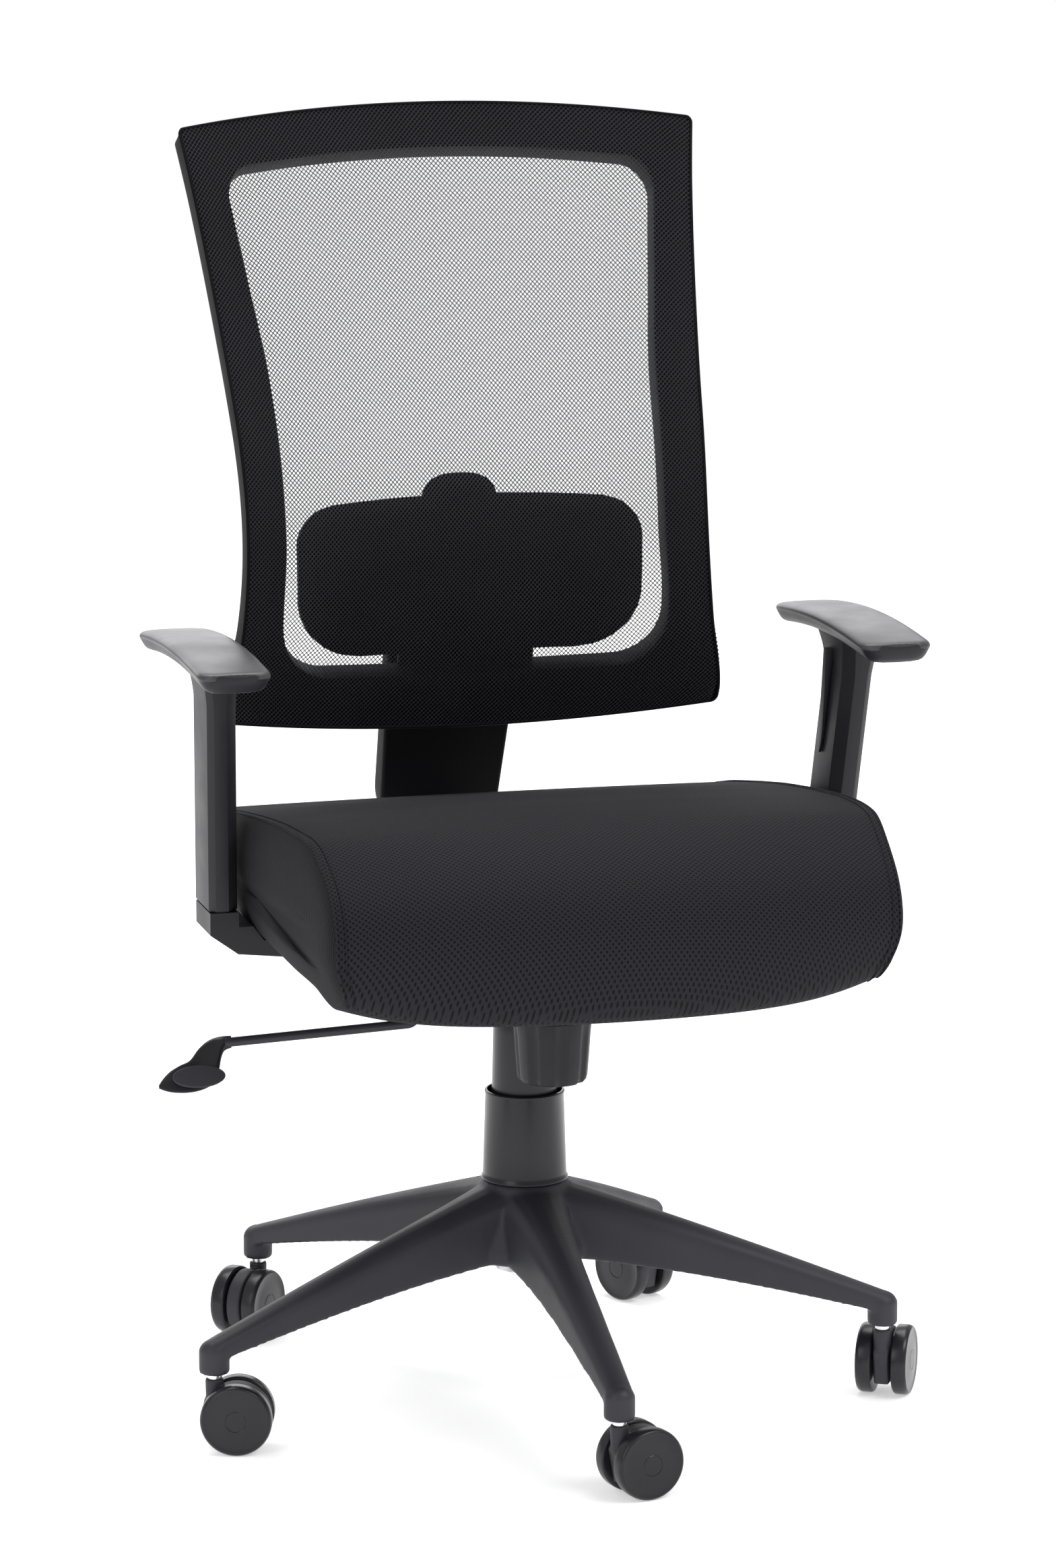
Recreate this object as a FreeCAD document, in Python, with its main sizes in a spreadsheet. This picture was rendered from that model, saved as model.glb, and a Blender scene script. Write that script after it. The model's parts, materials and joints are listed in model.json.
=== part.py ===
"""Swivel office chair: mesh back, padded seat, height-adjustable arms, five-star base, twin-wheel casters.

Millimetres. The origin is on the floor, on the swivel axis; +Z is up, the sitter faces -Y and the
sitter's left is +X. Every driving dimension is a cell of the sheet "dims"; sketches and features
are bound to those cells by expressions.
"""

import FreeCAD, Part
import math
import os
import re

import Sketcher

Vector = FreeCAD.Vector
FUNCTIONS = {"sin", "cos", "tan", "asin", "sqrt"}

# alias, value, meaning
DIMENSIONS = [
    ("stem_circle", 305, "radius of the circle of caster stems"),
    ("socket_radius", 12.8, "outside of a caster socket at an arm's end"),
    ("socket_bottom", 66, "underside of the sockets"),
    ("socket_shoulder", 84, "where a socket's rounded top begins"),
    ("socket_top", 94, "top of a socket"),
    ("hub_bottom", 122, "underside of the star's hub"),
    ("hub_top", 190, "top of the star's hub"),
    ("hub_radius_low", 43, "hub radius at its underside"),
    ("hub_radius_high", 37.5, "hub radius at its top"),
    ("arm_root_width", 50, "star arm width inside the hub"),
    ("stem_radius", 5.5, "caster stem pin"),
    ("stem_collar_radius", 6.4, "bright collar between socket and caster"),
    ("tube_radius", 25, "gas spring's outer tube"),
    ("tube_bore", 23, "inside of that tube"),
    ("tube_bottom", 112, "underside of that tube"),
    ("tube_top", 258, "top of that tube"),
    ("cylinder_radius", 14, "gas spring's pressure cylinder"),
    ("cylinder_bore", 12.5, "inside of the pressure cylinder"),
    ("cylinder_bottom", 180, "underside of the pressure cylinder"),
    ("cylinder_top", 380, "top of the pressure cylinder"),
    ("rod_radius", 5, "piston rod"),
    ("running_gap", 0.06, "radial clearance of shafts that turn or slide"),
    ("lower_cover_low", 36.7, "lower column cover's radius at its foot"),
    ("lower_cover_high", 33.2, "lower column cover's radius at its mouth"),
    ("lower_cover_top", 266, "mouth of the lower column cover"),
    ("upper_cover_low", 28.3, "upper column cover's radius at its mouth"),
    ("upper_cover_high", 26.4, "upper column cover's radius at the mechanism"),
    ("upper_cover_bottom", 240, "mouth of the upper column cover"),
    ("cover_wall", 1.5, "wall of the column covers"),
    ("housing_half", 50, "half width of the mechanism housing"),
    ("housing_wall", 3, "wall of the mechanism housing"),
    ("housing_floor", 333, "underside of the housing round the column"),
    ("housing_step", 352, "underside of the housing's front part"),
    ("housing_front", -120, "front of the housing"),
    ("housing_rear", 48, "rear of the housing"),
    ("pivot_y", -55, "tilt axis, forward of the column"),
    ("pivot_z", 386, "tilt axis height"),
    ("pivot_radius", 6, "tilt pivot pin"),
    ("spring_wire", 3, "radius of the tilt spring's wire"),
    ("spring_coil", 16, "mean radius of the tilt spring"),
    ("spring_pitch", 6.6, "pitch of the tilt spring"),
    ("spring_turns", 4, "turns in each tilt spring coil"),
    ("spring_inner", 16, "centre of each coil's first turn from the middle"),
    ("knob_y", -92, "tension knob's axis"),
    ("knob_bottom", 296, "underside of the tension knob"),
    ("knob_top", 351.4, "top of the tension knob"),
    ("knob_radius_low", 29, "knob radius at its underside"),
    ("knob_radius_high", 33, "knob radius at its top"),
    ("lever_y", -22, "lever rod's plane"),
    ("lever_z", 356, "lever rod's height in its collar"),
    ("lever_radius", 4, "lever rod"),
    ("fulcrum_x", -57, "lever's fulcrum pin"),
    ("plate_bottom", 412, "underside of the seat plate"),
    ("plate_thickness", 4, "seat plate"),
    ("plate_half_width", 80, "half width of the seat plate"),
    ("plate_half_depth", 140, "half depth of the seat plate"),
    ("flange_gap", 51, "inside of the seat plate's flanges from the middle"),
    ("flange_thickness", 3, "seat plate's flanges"),
    ("pan_thickness", 12, "moulded seat board"),
    ("pan_half_width", 205, "half width of the seat board"),
    ("pan_front", -290, "front of the seat board"),
    ("pan_rear", 200, "rear of the seat board"),
    ("seat_half_width", 248, "half width of the cushion"),
    ("seat_rear", 222, "rear of the cushion"),
    ("seat_front", -352, "front of the cushion"),
    ("seat_crest", 546, "highest line of the cushion"),
    ("seat_rear_top", 484, "top of the cushion at its rear"),
    ("arm_x", 266, "sleeve centre at the reference height"),
    ("arm_y", -8, "sleeve centre at the reference height"),
    ("arm_reference", 484, "reference height of the sleeves"),
    ("arm_splay", 0.0432, "outward lean of the sleeves, mm per mm of height"),
    ("arm_rake", -0.2055, "forward lean of the sleeves, mm per mm of height"),
    ("sleeve_width", 25, "sleeve across"),
    ("sleeve_depth", 62, "sleeve front to back"),
    ("sleeve_wall", 2.2, "sleeve wall"),
    ("sleeve_bottom", 441, "foot of the sleeve"),
    ("sleeve_top", 652, "head of the sleeve"),
    ("post_top", 600, "top of the bracket's post"),
    ("slide_gap", 0.3, "clearance of sleeve on post"),
    ("pad_inner", 248, "inner edge of an arm pad"),
    ("pad_outer", 309, "outer edge of an arm pad"),
    ("pad_front", -158, "front of an arm pad"),
    ("pad_rear", 110, "rear of an arm pad"),
    ("bar_width", 76, "steel back bar across"),
    ("bar_thickness", 8, "steel back bar"),
    ("bar_z", 407.9, "back bar's middle under the seat"),
    ("bar_bend", 50, "bend radius of the back bar"),
    ("bar_corner_y", 335, "where the back bar's two runs would meet"),
    ("bar_lean", 22.1, "degrees that the upright leans forward"),
    ("bar_rise", 204, "length of the upright run from that corner"),
    ("back_curve", 303, "radius of the lumbar curve, front face"),
    ("back_curve_y", 475, "centre of the lumbar curve"),
    ("back_curve_z", 683, "height of the centre of the lumbar curve"),
    ("back_low_angle", -29, "lower end of the lumbar curve, degrees"),
    ("back_high_angle", 26.9, "upper end of the lumbar curve, degrees"),
    ("back_straight", 284, "straight upper run of the back"),
    ("back_thickness", 28, "back frame front to back"),
    ("back_plan_axis", -800, "axis that the back is curved about, in plan"),
    ("mesh_thickness", 1.6, "mesh cover"),
    ("lumbar_front", 283, "radius of the lumbar plate's front face"),
    ("lumbar_rear", 278, "radius of the lumbar plate's rear face"),
    ("wheel_radius", 30, "caster wheel"),
    ("wheel_inner", 8.6, "inner face of a wheel from the caster's middle"),
    ("wheel_outer", 22.5, "outer face of a wheel from the caster's middle"),
    ("trail", 19, "axle behind the stem"),
    ("axle_radius", 3, "caster axle"),
    ("web_half", 8, "half width of a caster's body"),
]

doc = FreeCAD.newDocument("swivel_office_chair")
dims = doc.addObject("Spreadsheet::Sheet", "dims")
for row, (alias, number, meaning) in enumerate(DIMENSIONS, start=1):
    dims.set(f"A{row}", alias)
    dims.set(f"B{row}", str(number))
    dims.set(f"C{row}", meaning)
    dims.setAlias(f"B{row}", alias)
doc.recompute()

parts = []
FIRST_ARM = FreeCAD.Placement(Vector(), FreeCAD.Rotation(Vector(0, 0, 1), -90))


# ---------------------------------------------------------------- expressions, sketches, features

def bound(expression):
    """An expression in plain aliases, written the way other objects read the sheet."""
    return re.sub(r"[a-z_]{3,}", lambda m: m[0] if m[0] in FUNCTIONS else "dims." + m[0], expression)


def value(expression):
    """The number an expression stands for."""
    return float(dims.evalExpression(expression))


def new_body(label):
    body = doc.addObject("PartDesign::Body", label)
    body.Label = label
    body.AllowCompound = True
    parts.append(body)
    return body


def sketch_on(body, name, plane, offset="0"):
    """A sketch on one of the body's origin planes, moved along the plane's normal by offset."""
    sketch = body.newObject("Sketcher::SketchObject", name)
    support = next(f for f in body.Origin.OriginFeatures if f.Role == plane + "_Plane")
    sketch.AttachmentSupport = [(support, "")]
    sketch.MapMode = "FlatFace"
    sketch.setExpression("AttachmentOffset.Base.z", bound(offset))
    return sketch


def pin_point(sketch, edge, end, x, y):
    """Bind one end of an edge to the point (x, y), both expressions."""
    for kind, axis, expression in (("DistanceX", -2, x), ("DistanceY", -1, y)):
        if abs(value(expression)) < 1e-9:
            sketch.addConstraint(Sketcher.Constraint("PointOnObject", edge, end, axis))
        else:
            number = sketch.addConstraint(Sketcher.Constraint(kind, -1, 1, edge, end, value(expression)))
            sketch.setExpression(f"Constraints[{number}]", bound(expression))


def arc_between(start, end, radius, turn):
    """Arc from start to end; turn +1 goes counter-clockwise, -1 clockwise. The short way round."""
    chord = end - start
    middle = (start + end) * 0.5
    height = math.sqrt(max(radius ** 2 - (chord.Length / 2) ** 2, 0))
    normal = Vector(-chord.y, chord.x, 0).normalize()
    centre = middle + normal * height * turn
    first, last = (start, end) if turn > 0 else (end, start)
    angles = [math.atan2(p.y - centre.y, p.x - centre.x) for p in (first, last)]
    if angles[1] < angles[0]:
        angles[1] += 2 * math.pi
    return Part.ArcOfCircle(Part.Circle(centre, Vector(0, 0, 1), radius), *angles)


def outline(sketch, vertices, arcs=None):
    """A closed outline through (x, y) expressions. arcs: {edge: (radius expression, turn)}."""
    arcs = arcs or {}
    points = [Vector(value(x), value(y), 0) for x, y in vertices]
    count = len(points)
    ends = []
    for i in range(count):
        start, end = points[i], points[(i + 1) % count]
        if i in arcs:
            radius, turn = arcs[i]
            edge = sketch.addGeometry(arc_between(start, end, value(radius), turn))
            number = sketch.addConstraint(Sketcher.Constraint("Radius", edge, value(radius)))
            sketch.setExpression(f"Constraints[{number}]", bound(radius))
            ends.append((edge, 1, 2) if turn > 0 else (edge, 2, 1))
        else:
            edge = sketch.addGeometry(Part.LineSegment(start, end))
            ends.append((edge, 1, 2))
    for i in range(count):
        edge, first, last = ends[i]
        following = ends[(i + 1) % count]
        sketch.addConstraint(Sketcher.Constraint("Coincident", edge, last, following[0], following[1]))
        pin_point(sketch, edge, first, *vertices[i])
    return sketch


def rectangle(sketch, x_low, x_high, y_low, y_high):
    return outline(sketch, [(x_low, y_low), (x_high, y_low), (x_high, y_high), (x_low, y_high)])


def circle(sketch, x, y, radius):
    edge = sketch.addGeometry(Part.Circle(Vector(value(x), value(y), 0), Vector(0, 0, 1), value(radius)))
    number = sketch.addConstraint(Sketcher.Constraint("Radius", edge, value(radius)))
    sketch.setExpression(f"Constraints[{number}]", bound(radius))
    pin_point(sketch, edge, 3, x, y)
    return sketch


def pad(body, sketch, length, midplane=False, reverse=False):
    feature = body.newObject("PartDesign::Pad", sketch.Name + "_pad")
    feature.Profile = sketch
    feature.setExpression("Length", bound(length))
    feature.Midplane = midplane
    feature.Reversed = reverse
    return feature


def pocket(body, sketch, length=None, reverse=False):
    """A pocket; with no length it cuts through everything, both ways."""
    feature = body.newObject("PartDesign::Pocket", sketch.Name + "_pocket")
    feature.Profile = sketch
    if length is None:
        feature.Type = "ThroughAll"
        feature.Midplane = True
    else:
        feature.setExpression("Length", bound(length))
        feature.Reversed = reverse
    return feature


def revolve(body, sketch, axis="V_Axis", angle=360, midplane=False):
    feature = body.newObject("PartDesign::Revolution", sketch.Name + "_turned")
    feature.Profile = sketch
    feature.ReferenceAxis = (sketch, [axis])
    feature.Angle = angle
    feature.Midplane = midplane
    return feature


def turn_axis(sketch, x):
    """A vertical construction line at x, to turn a profile about."""
    edge = sketch.addGeometry(Part.LineSegment(Vector(value(x), 0, 0), Vector(value(x), 10, 0)), True)
    pin_point(sketch, edge, 1, x, "0")
    pin_point(sketch, edge, 2, x, "10")
    return "Axis0"


def around(body, originals, count=5):
    """Repeat features about the vertical axis."""
    feature = body.newObject("PartDesign::PolarPattern", "around_axis")
    feature.Originals = originals
    axis = next(f for f in body.Origin.OriginFeatures if f.Role == "Z_Axis")
    feature.Axis = (axis, [""])
    feature.Angle = 360
    feature.Occurrences = count
    body.Tip = feature
    return feature


def loft(body, first, *others):
    feature = body.newObject("PartDesign::AdditiveLoft", first.Name + "_loft")
    feature.Profile = first
    feature.Sections = list(others)
    feature.Ruled = True
    return feature


def trim(body, name, plane, reach, vertices, arcs=None):
    """Cut away everything outside an outline, seen square to a plane. reach bounds the cut."""
    sketch = sketch_on(body, name, plane)
    rectangle(sketch, *reach)
    outline(sketch, vertices, arcs)
    return pocket(body, sketch)


def turned(label, vertices, arcs=None):
    """A body turned about the swivel axis from a closed (radius, height) profile."""
    body = new_body(label)
    revolve(body, outline(sketch_on(body, label + "_profile", "XZ"), vertices, arcs))
    return body


def bent_path(sketch, route, radius):
    """An open path through (x, y) expressions, every corner rounded with the same radius."""
    points = [Vector(value(x), value(y), 0) for x, y in route]
    edges = [sketch.addGeometry(Part.LineSegment(a, b)) for a, b in zip(points, points[1:])]
    for first, second in zip(edges, edges[1:]):
        sketch.addConstraint(Sketcher.Constraint("Coincident", first, 2, second, 1))
    for i, (first, second) in enumerate(zip(edges, edges[1:]), start=1):
        before = points[i] + (points[i - 1] - points[i]).normalize() * value(radius)
        after = points[i] + (points[i + 1] - points[i]).normalize() * value(radius)
        sketch.fillet(first, second, before, after, value(radius))
    return sketch


def mirrored_outline(half):
    """Points of the +x half, from one end on the axis side to the other, joined to their mirror image."""
    return half + [("-(" + x + ")", y) for x, y in reversed(half)]


# ---------------------------------------------------------------- base and gas spring

def arm_section(body, name, along, half_width, low, shoulder, crest):
    """Star arm cross-section: flat underside, drafted sides, round ridge."""
    sketch = sketch_on(body, name, "YZ", along)
    ridge = f"(({half_width}) * 0.72)"
    vertices = [
        ("-(" + half_width + ")", low),
        (half_width, low),
        (ridge, shoulder),
        ("-" + ridge, shoulder),
    ]
    rise = f"(({crest}) - ({shoulder}))"
    radius = f"({ridge} * {ridge} + {rise} * {rise}) / (2 * {rise})"
    return outline(sketch, vertices, {2: (radius, 1)})


def star_base():
    body = new_body("star_base")
    hub = sketch_on(body, "hub_profile", "XZ")
    outline(hub, [
        ("tube_radius + 0.05", "hub_bottom"),
        ("hub_radius_low", "hub_bottom"),
        ("hub_radius_high", "hub_top"),
        ("tube_radius + 0.05", "hub_top"),
    ])
    revolve(body, hub)
    root = arm_section(
        body, "arm_root", "29", "arm_root_width / 2 - 2", "hub_bottom + 1", "172", "hub_top - 5")
    tip = arm_section(
        body, "arm_tip", "stem_circle - 2", "socket_radius - 0.6", "socket_bottom + 12.5",
        "socket_shoulder + 2", "socket_top + 1")
    arm = loft(body, root, tip)
    boss = sketch_on(body, "socket_profile", "XZ")
    outline(boss, [
        ("stem_circle", "socket_bottom"),
        ("stem_circle + socket_radius", "socket_bottom"),
        ("stem_circle + socket_radius", "socket_shoulder"),
        ("stem_circle + socket_radius - 9", "socket_top"),
        ("stem_circle", "socket_top"),
    ], {2: ("10", 1)})
    socket = revolve(body, boss, turn_axis(boss, "stem_circle"))
    hole = sketch_on(body, "stem_hole", "XY", "socket_bottom")
    circle(hole, "stem_circle", "0", "stem_radius + 0.05")
    drilled = pocket(body, hole, "23", reverse=True)
    around(body, [arm, socket, drilled])
    bore = sketch_on(body, "tube_bore_hole", "XY")
    circle(bore, "0", "0", "tube_radius + 0.05")
    body.Tip = pocket(body, bore)
    body.Placement = FIRST_ARM


def gas_spring():
    tube_floor = "(tube_bottom + 4)"
    turned("gas_spring_tube", [
        ("rod_radius + 0.4", "tube_bottom"),
        ("tube_radius", "tube_bottom"),
        ("tube_radius", "tube_top"),
        ("tube_bore", "tube_top"),
        ("tube_bore", tube_floor),
        ("rod_radius + 0.4", tube_floor),
    ])
    turned("guide_bushing", [
        ("cylinder_radius + running_gap", "200"),
        ("tube_bore - 0.05", "200"),
        ("tube_bore - 0.05", "tube_top - 2"),
        ("cylinder_radius + running_gap", "tube_top - 2"),
    ])
    turned("thrust_bearing", [
        ("rod_radius + 0.4", tube_floor + " + 0.1"),
        ("11", tube_floor + " + 0.1"),
        ("11", tube_floor + " + 5"),
        ("rod_radius + 0.4", tube_floor + " + 5"),
    ])
    turned("piston_rod", [
        ("0", "tube_bottom - 6"),
        ("rod_radius", "tube_bottom - 6"),
        ("rod_radius", tube_floor + " + 5.3"),
        ("9", tube_floor + " + 5.3"),
        ("9", tube_floor + " + 9"),
        ("rod_radius", tube_floor + " + 9"),
        ("rod_radius", "288"),
        ("cylinder_bore - running_gap", "288"),
        ("cylinder_bore - running_gap", "300"),
        ("0", "300"),
    ])
    turned("retaining_clip", [
        ("rod_radius + 0.02", "tube_bottom - 4"),
        ("10", "tube_bottom - 4"),
        ("10", "tube_bottom - 0.4"),
        ("rod_radius + 0.02", "tube_bottom - 0.4"),
    ])
    turned("pressure_cylinder", [
        ("rod_radius + running_gap", "cylinder_bottom"),
        ("cylinder_radius", "cylinder_bottom"),
        ("cylinder_radius", "cylinder_top"),
        ("3 + running_gap", "cylinder_top"),
        ("3 + running_gap", "cylinder_top - 16"),
        ("cylinder_bore", "cylinder_top - 16"),
        ("cylinder_bore", "cylinder_bottom + 8"),
        ("rod_radius + running_gap", "cylinder_bottom + 8"),
    ])
    turned("valve_pin", [("0", "367"), ("3", "367"), ("3", "387.5"), ("0", "387.5")])


def column_covers():
    turned("column_cover_lower", [
        ("tube_radius + 0.1", "hub_top + 0.2"),
        ("lower_cover_low", "hub_top + 0.2"),
        ("lower_cover_low", "hub_top + 1.6"),
        ("lower_cover_low - 0.8", "hub_top + 2.2"),
        ("lower_cover_high", "lower_cover_top"),
        ("lower_cover_high - cover_wall", "lower_cover_top"),
        ("lower_cover_low - 0.8 - cover_wall", "hub_top + 3"),
        ("tube_radius + 0.1", "hub_top + 3"),
    ])
    turned("column_cover_upper", [
        ("upper_cover_low - cover_wall", "upper_cover_bottom"),
        ("upper_cover_low", "upper_cover_bottom"),
        ("upper_cover_high", "housing_floor - 0.2"),
        ("cylinder_radius + 0.3", "housing_floor - 0.2"),
        ("cylinder_radius + 0.3", "housing_floor - 2.2"),
        ("upper_cover_high - cover_wall", "housing_floor - 2.2"),
    ])


# ---------------------------------------------------------------- casters

def caster_stems():
    body = new_body("caster_stems")
    profile = sketch_on(body, "stem_profile", "XZ")
    outline(profile, [
        ("stem_circle", "38"),
        ("stem_circle + stem_radius", "38"),
        ("stem_circle + stem_radius", "62.6"),
        ("stem_circle + stem_collar_radius", "62.6"),
        ("stem_circle + stem_collar_radius", "socket_bottom - 0.1"),
        ("stem_circle + stem_radius", "socket_bottom - 0.1"),
        ("stem_circle + stem_radius", "socket_bottom + 22"),
        ("stem_circle", "socket_bottom + 22"),
    ])
    stem = revolve(body, profile, turn_axis(profile, "stem_circle"))
    around(body, [stem])
    body.Placement = FIRST_ARM


def caster_place(stem_angle, trail_angle):
    """A caster is drawn with its stem on the origin's axis and its axle towards +X."""
    radius = value("stem_circle")
    turn = math.radians(stem_angle)
    position = Vector(radius * math.cos(turn), radius * math.sin(turn), 0)
    return FreeCAD.Placement(position, FreeCAD.Rotation(Vector(0, 0, 1), trail_angle))


def caster(number, stem_angle, trail_angle):
    placement = caster_place(stem_angle, trail_angle)

    housing = new_body(f"caster_housing_{number}")
    web = sketch_on(housing, "web_outline", "XZ")
    outline(web, [
        ("-stem_radius - 2", "61.5"),
        ("-stem_radius - 1.6", "33"),
        ("trail - 12", "12"),
        ("trail + 12", "12"),
        ("trail + 27", "wheel_radius"),
        ("stem_radius + 2", "56"),
        ("stem_radius + 2", "61.5"),
    ], {3: ("29", 1), 4: ("29", 1)})
    pad(housing, web, "2 * web_half", midplane=True)
    neck = sketch_on(housing, "neck", "XY", "33")
    circle(neck, "0", "0", "stem_radius + 2.2")
    pad(housing, neck, "28.8")
    stem_hole = sketch_on(housing, "stem_hole", "XY", "62")
    circle(stem_hole, "0", "0", "stem_radius + running_gap")
    pocket(housing, stem_hole, "24.5")
    axle_hole = sketch_on(housing, "axle_hole", "XZ")
    circle(axle_hole, "trail", "wheel_radius", "axle_radius + 0.02")
    housing.Tip = pocket(housing, axle_hole)
    housing.Placement = placement

    axle = new_body(f"caster_axle_{number}")
    shaft = sketch_on(axle, "shaft", "XZ")
    circle(shaft, "trail", "wheel_radius", "axle_radius")
    pad(axle, shaft, "2 * (wheel_outer - 4)", midplane=True)
    axle.Placement = placement

    for side, name in ((1, "left"), (-1, "right")):
        wheel = new_body(f"caster_wheel_{number}_{name}")
        profile = sketch_on(wheel, "wheel_profile", "XY")
        rim = "wheel_radius"
        outline(profile, [
            ("axle_radius + running_gap", f"{side} * wheel_inner"),
            (rim + " - 1.2", f"{side} * wheel_inner"),
            (rim, f"{side} * (wheel_inner + 1.2)"),
            (rim, f"{side} * (wheel_outer - 4)"),
            (rim + " - 2", f"{side} * (wheel_outer - 0.8)"),
            (rim + " - 4", f"{side} * wheel_outer"),
            ("0", f"{side} * wheel_outer"),
            ("0", f"{side} * (wheel_outer - 3.5)"),
            ("axle_radius + running_gap", f"{side} * (wheel_outer - 3.5)"),
        ])
        revolve(wheel, profile)
        hub = FreeCAD.Placement(Vector(value("trail"), 0, value("wheel_radius")), FreeCAD.Rotation())
        wheel.Placement = placement * hub


# ---------------------------------------------------------------- tilt mechanism

def mechanism_housing():
    body = new_body("mechanism_housing")
    side = sketch_on(body, "side_outline", "YZ")
    outline(side, [
        ("housing_front", "housing_step"),
        ("-38", "housing_step"),
        ("-32", "housing_floor"),
        ("housing_rear", "housing_floor"),
        ("housing_rear", "380"),
        ("-25", "400"),
        ("-80", "402"),
        ("housing_front", "382"),
    ])
    pad(body, side, "2 * housing_half", midplane=True)
    inside = sketch_on(body, "inside_outline", "YZ")
    outline(inside, [
        ("housing_front + housing_wall", "housing_step + housing_wall"),
        ("-36", "housing_step + housing_wall"),
        ("-30", "housing_floor + housing_wall"),
        ("housing_rear - housing_wall", "housing_floor + housing_wall"),
        ("housing_rear - housing_wall", "420"),
        ("housing_front + housing_wall", "420"),
    ])
    cavity = body.newObject("PartDesign::Pocket", "cavity")
    cavity.Profile = inside
    cavity.setExpression("Length", bound("2 * (housing_half - housing_wall)"))
    cavity.Midplane = True
    hub = sketch_on(body, "taper_hub", "XY", "housing_floor + 1")
    circle(hub, "0", "0", "20")
    pad(body, hub, "cylinder_top - housing_floor - 1")
    bore = sketch_on(body, "taper_bore", "XY")
    circle(bore, "0", "0", "cylinder_radius + 0.05")
    pocket(body, bore)
    bolt_hole = sketch_on(body, "bolt_hole", "XY")
    circle(bolt_hole, "0", "knob_y", "5 + running_gap")
    pocket(body, bolt_hole)
    pin_hole = sketch_on(body, "pin_hole", "YZ")
    circle(pin_hole, "pivot_y", "pivot_z", "pivot_radius + 0.02")
    pocket(body, pin_hole)
    collar_hole = sketch_on(body, "collar_hole", "YZ", "-30")
    circle(collar_hole, "lever_y", "lever_z", "9 + running_gap")
    body.Tip = pocket(body, collar_hole, "40")


def pivot_pin():
    body = new_body("pivot_pin")
    shaft = sketch_on(body, "pin_circle", "YZ")
    circle(shaft, "pivot_y", "pivot_z", "pivot_radius")
    pad(body, shaft, "2 * (flange_gap + flange_thickness + 3)", midplane=True)


def tilt_spring():
    """Two torsion coils round the pivot pin, one leg of each to the front and one to the rear."""
    body = new_body("tilt_spring")
    wire = sketch_on(body, "wire_section", "XZ")
    circle(wire, "spring_coil", "spring_inner", "spring_wire")
    coil = body.newObject("PartDesign::AdditiveHelix", "coil")
    coil.Profile = wire
    coil.ReferenceAxis = (wire, ["V_Axis"])
    coil.Mode = "pitch-turns-angle"
    coil.setExpression("Pitch", bound("spring_pitch"))
    coil.setExpression("Turns", bound("spring_turns"))
    rear_leg = sketch_on(body, "rear_leg", "XZ")
    circle(rear_leg, "spring_coil", "spring_inner", "spring_wire")
    rear = pad(body, rear_leg, "34")
    front_leg = sketch_on(body, "front_leg", "XZ")
    circle(front_leg, "spring_coil", "spring_inner + spring_pitch * spring_turns", "spring_wire")
    front = pad(body, front_leg, "42", reverse=True)
    other_side = body.newObject("PartDesign::Mirrored", "other_side")
    other_side.Originals = [coil, rear, front]
    plane = next(f for f in body.Origin.OriginFeatures if f.Role == "XY_Plane")
    other_side.MirrorPlane = (plane, [""])
    body.Tip = other_side
    upright = FreeCAD.Rotation(Vector(0, 0, 1), Vector(0, -1, 0), Vector(1, 0, 0), "ZYX")
    body.Placement = FreeCAD.Placement(Vector(0, value("pivot_y"), value("pivot_z")), upright)


def tension_adjuster():
    knob = new_body("tension_knob")
    profile = sketch_on(knob, "knob_profile", "XZ")
    outline(profile, [
        ("5.02", "knob_bottom"),
        ("knob_radius_low - 4", "knob_bottom"),
        ("knob_radius_low", "knob_bottom + 4"),
        ("knob_radius_high", "knob_top"),
        ("5.02", "knob_top"),
    ], {1: ("4.5", 1)})
    revolve(knob, profile)
    scallop = sketch_on(knob, "scallop", "XY")
    circle(scallop, "knob_radius_high + 10.5", "0", "13.5")
    cut = pocket(knob, scallop)
    around(knob, [cut], 8)
    knob.Placement = FreeCAD.Placement(Vector(0, value("knob_y"), 0), FreeCAD.Rotation())

    bolt = turned("tension_bolt", [
        ("0", "knob_bottom + 1"),
        ("5", "knob_bottom + 1"),
        ("5", "housing_step + housing_wall + 0.3"),
        ("9", "housing_step + housing_wall + 0.3"),
        ("9", "housing_step + housing_wall + 4"),
        ("5", "housing_step + housing_wall + 4"),
        ("5", "plate_bottom - 0.8"),
        ("0", "plate_bottom - 0.8"),
    ])
    bolt.Placement = FreeCAD.Placement(Vector(0, value("knob_y"), 0), FreeCAD.Rotation())

    saddle = new_body("tension_saddle")
    leg_top = "pivot_z + spring_coil + spring_wire + 0.2"
    bar = sketch_on(saddle, "bar", "XY", leg_top)
    rectangle(bar, "-45.5", "45.5", "knob_y - 8", "knob_y + 8")
    pad(saddle, bar, "5.6")
    nut = sketch_on(saddle, "nut", "XY", leg_top)
    circle(nut, "0", "knob_y", "9")
    pad(saddle, nut, "12", reverse=True)
    thread = sketch_on(saddle, "thread", "XY")
    circle(thread, "0", "knob_y", "5 + running_gap")
    saddle.Tip = pocket(saddle, thread)


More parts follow.
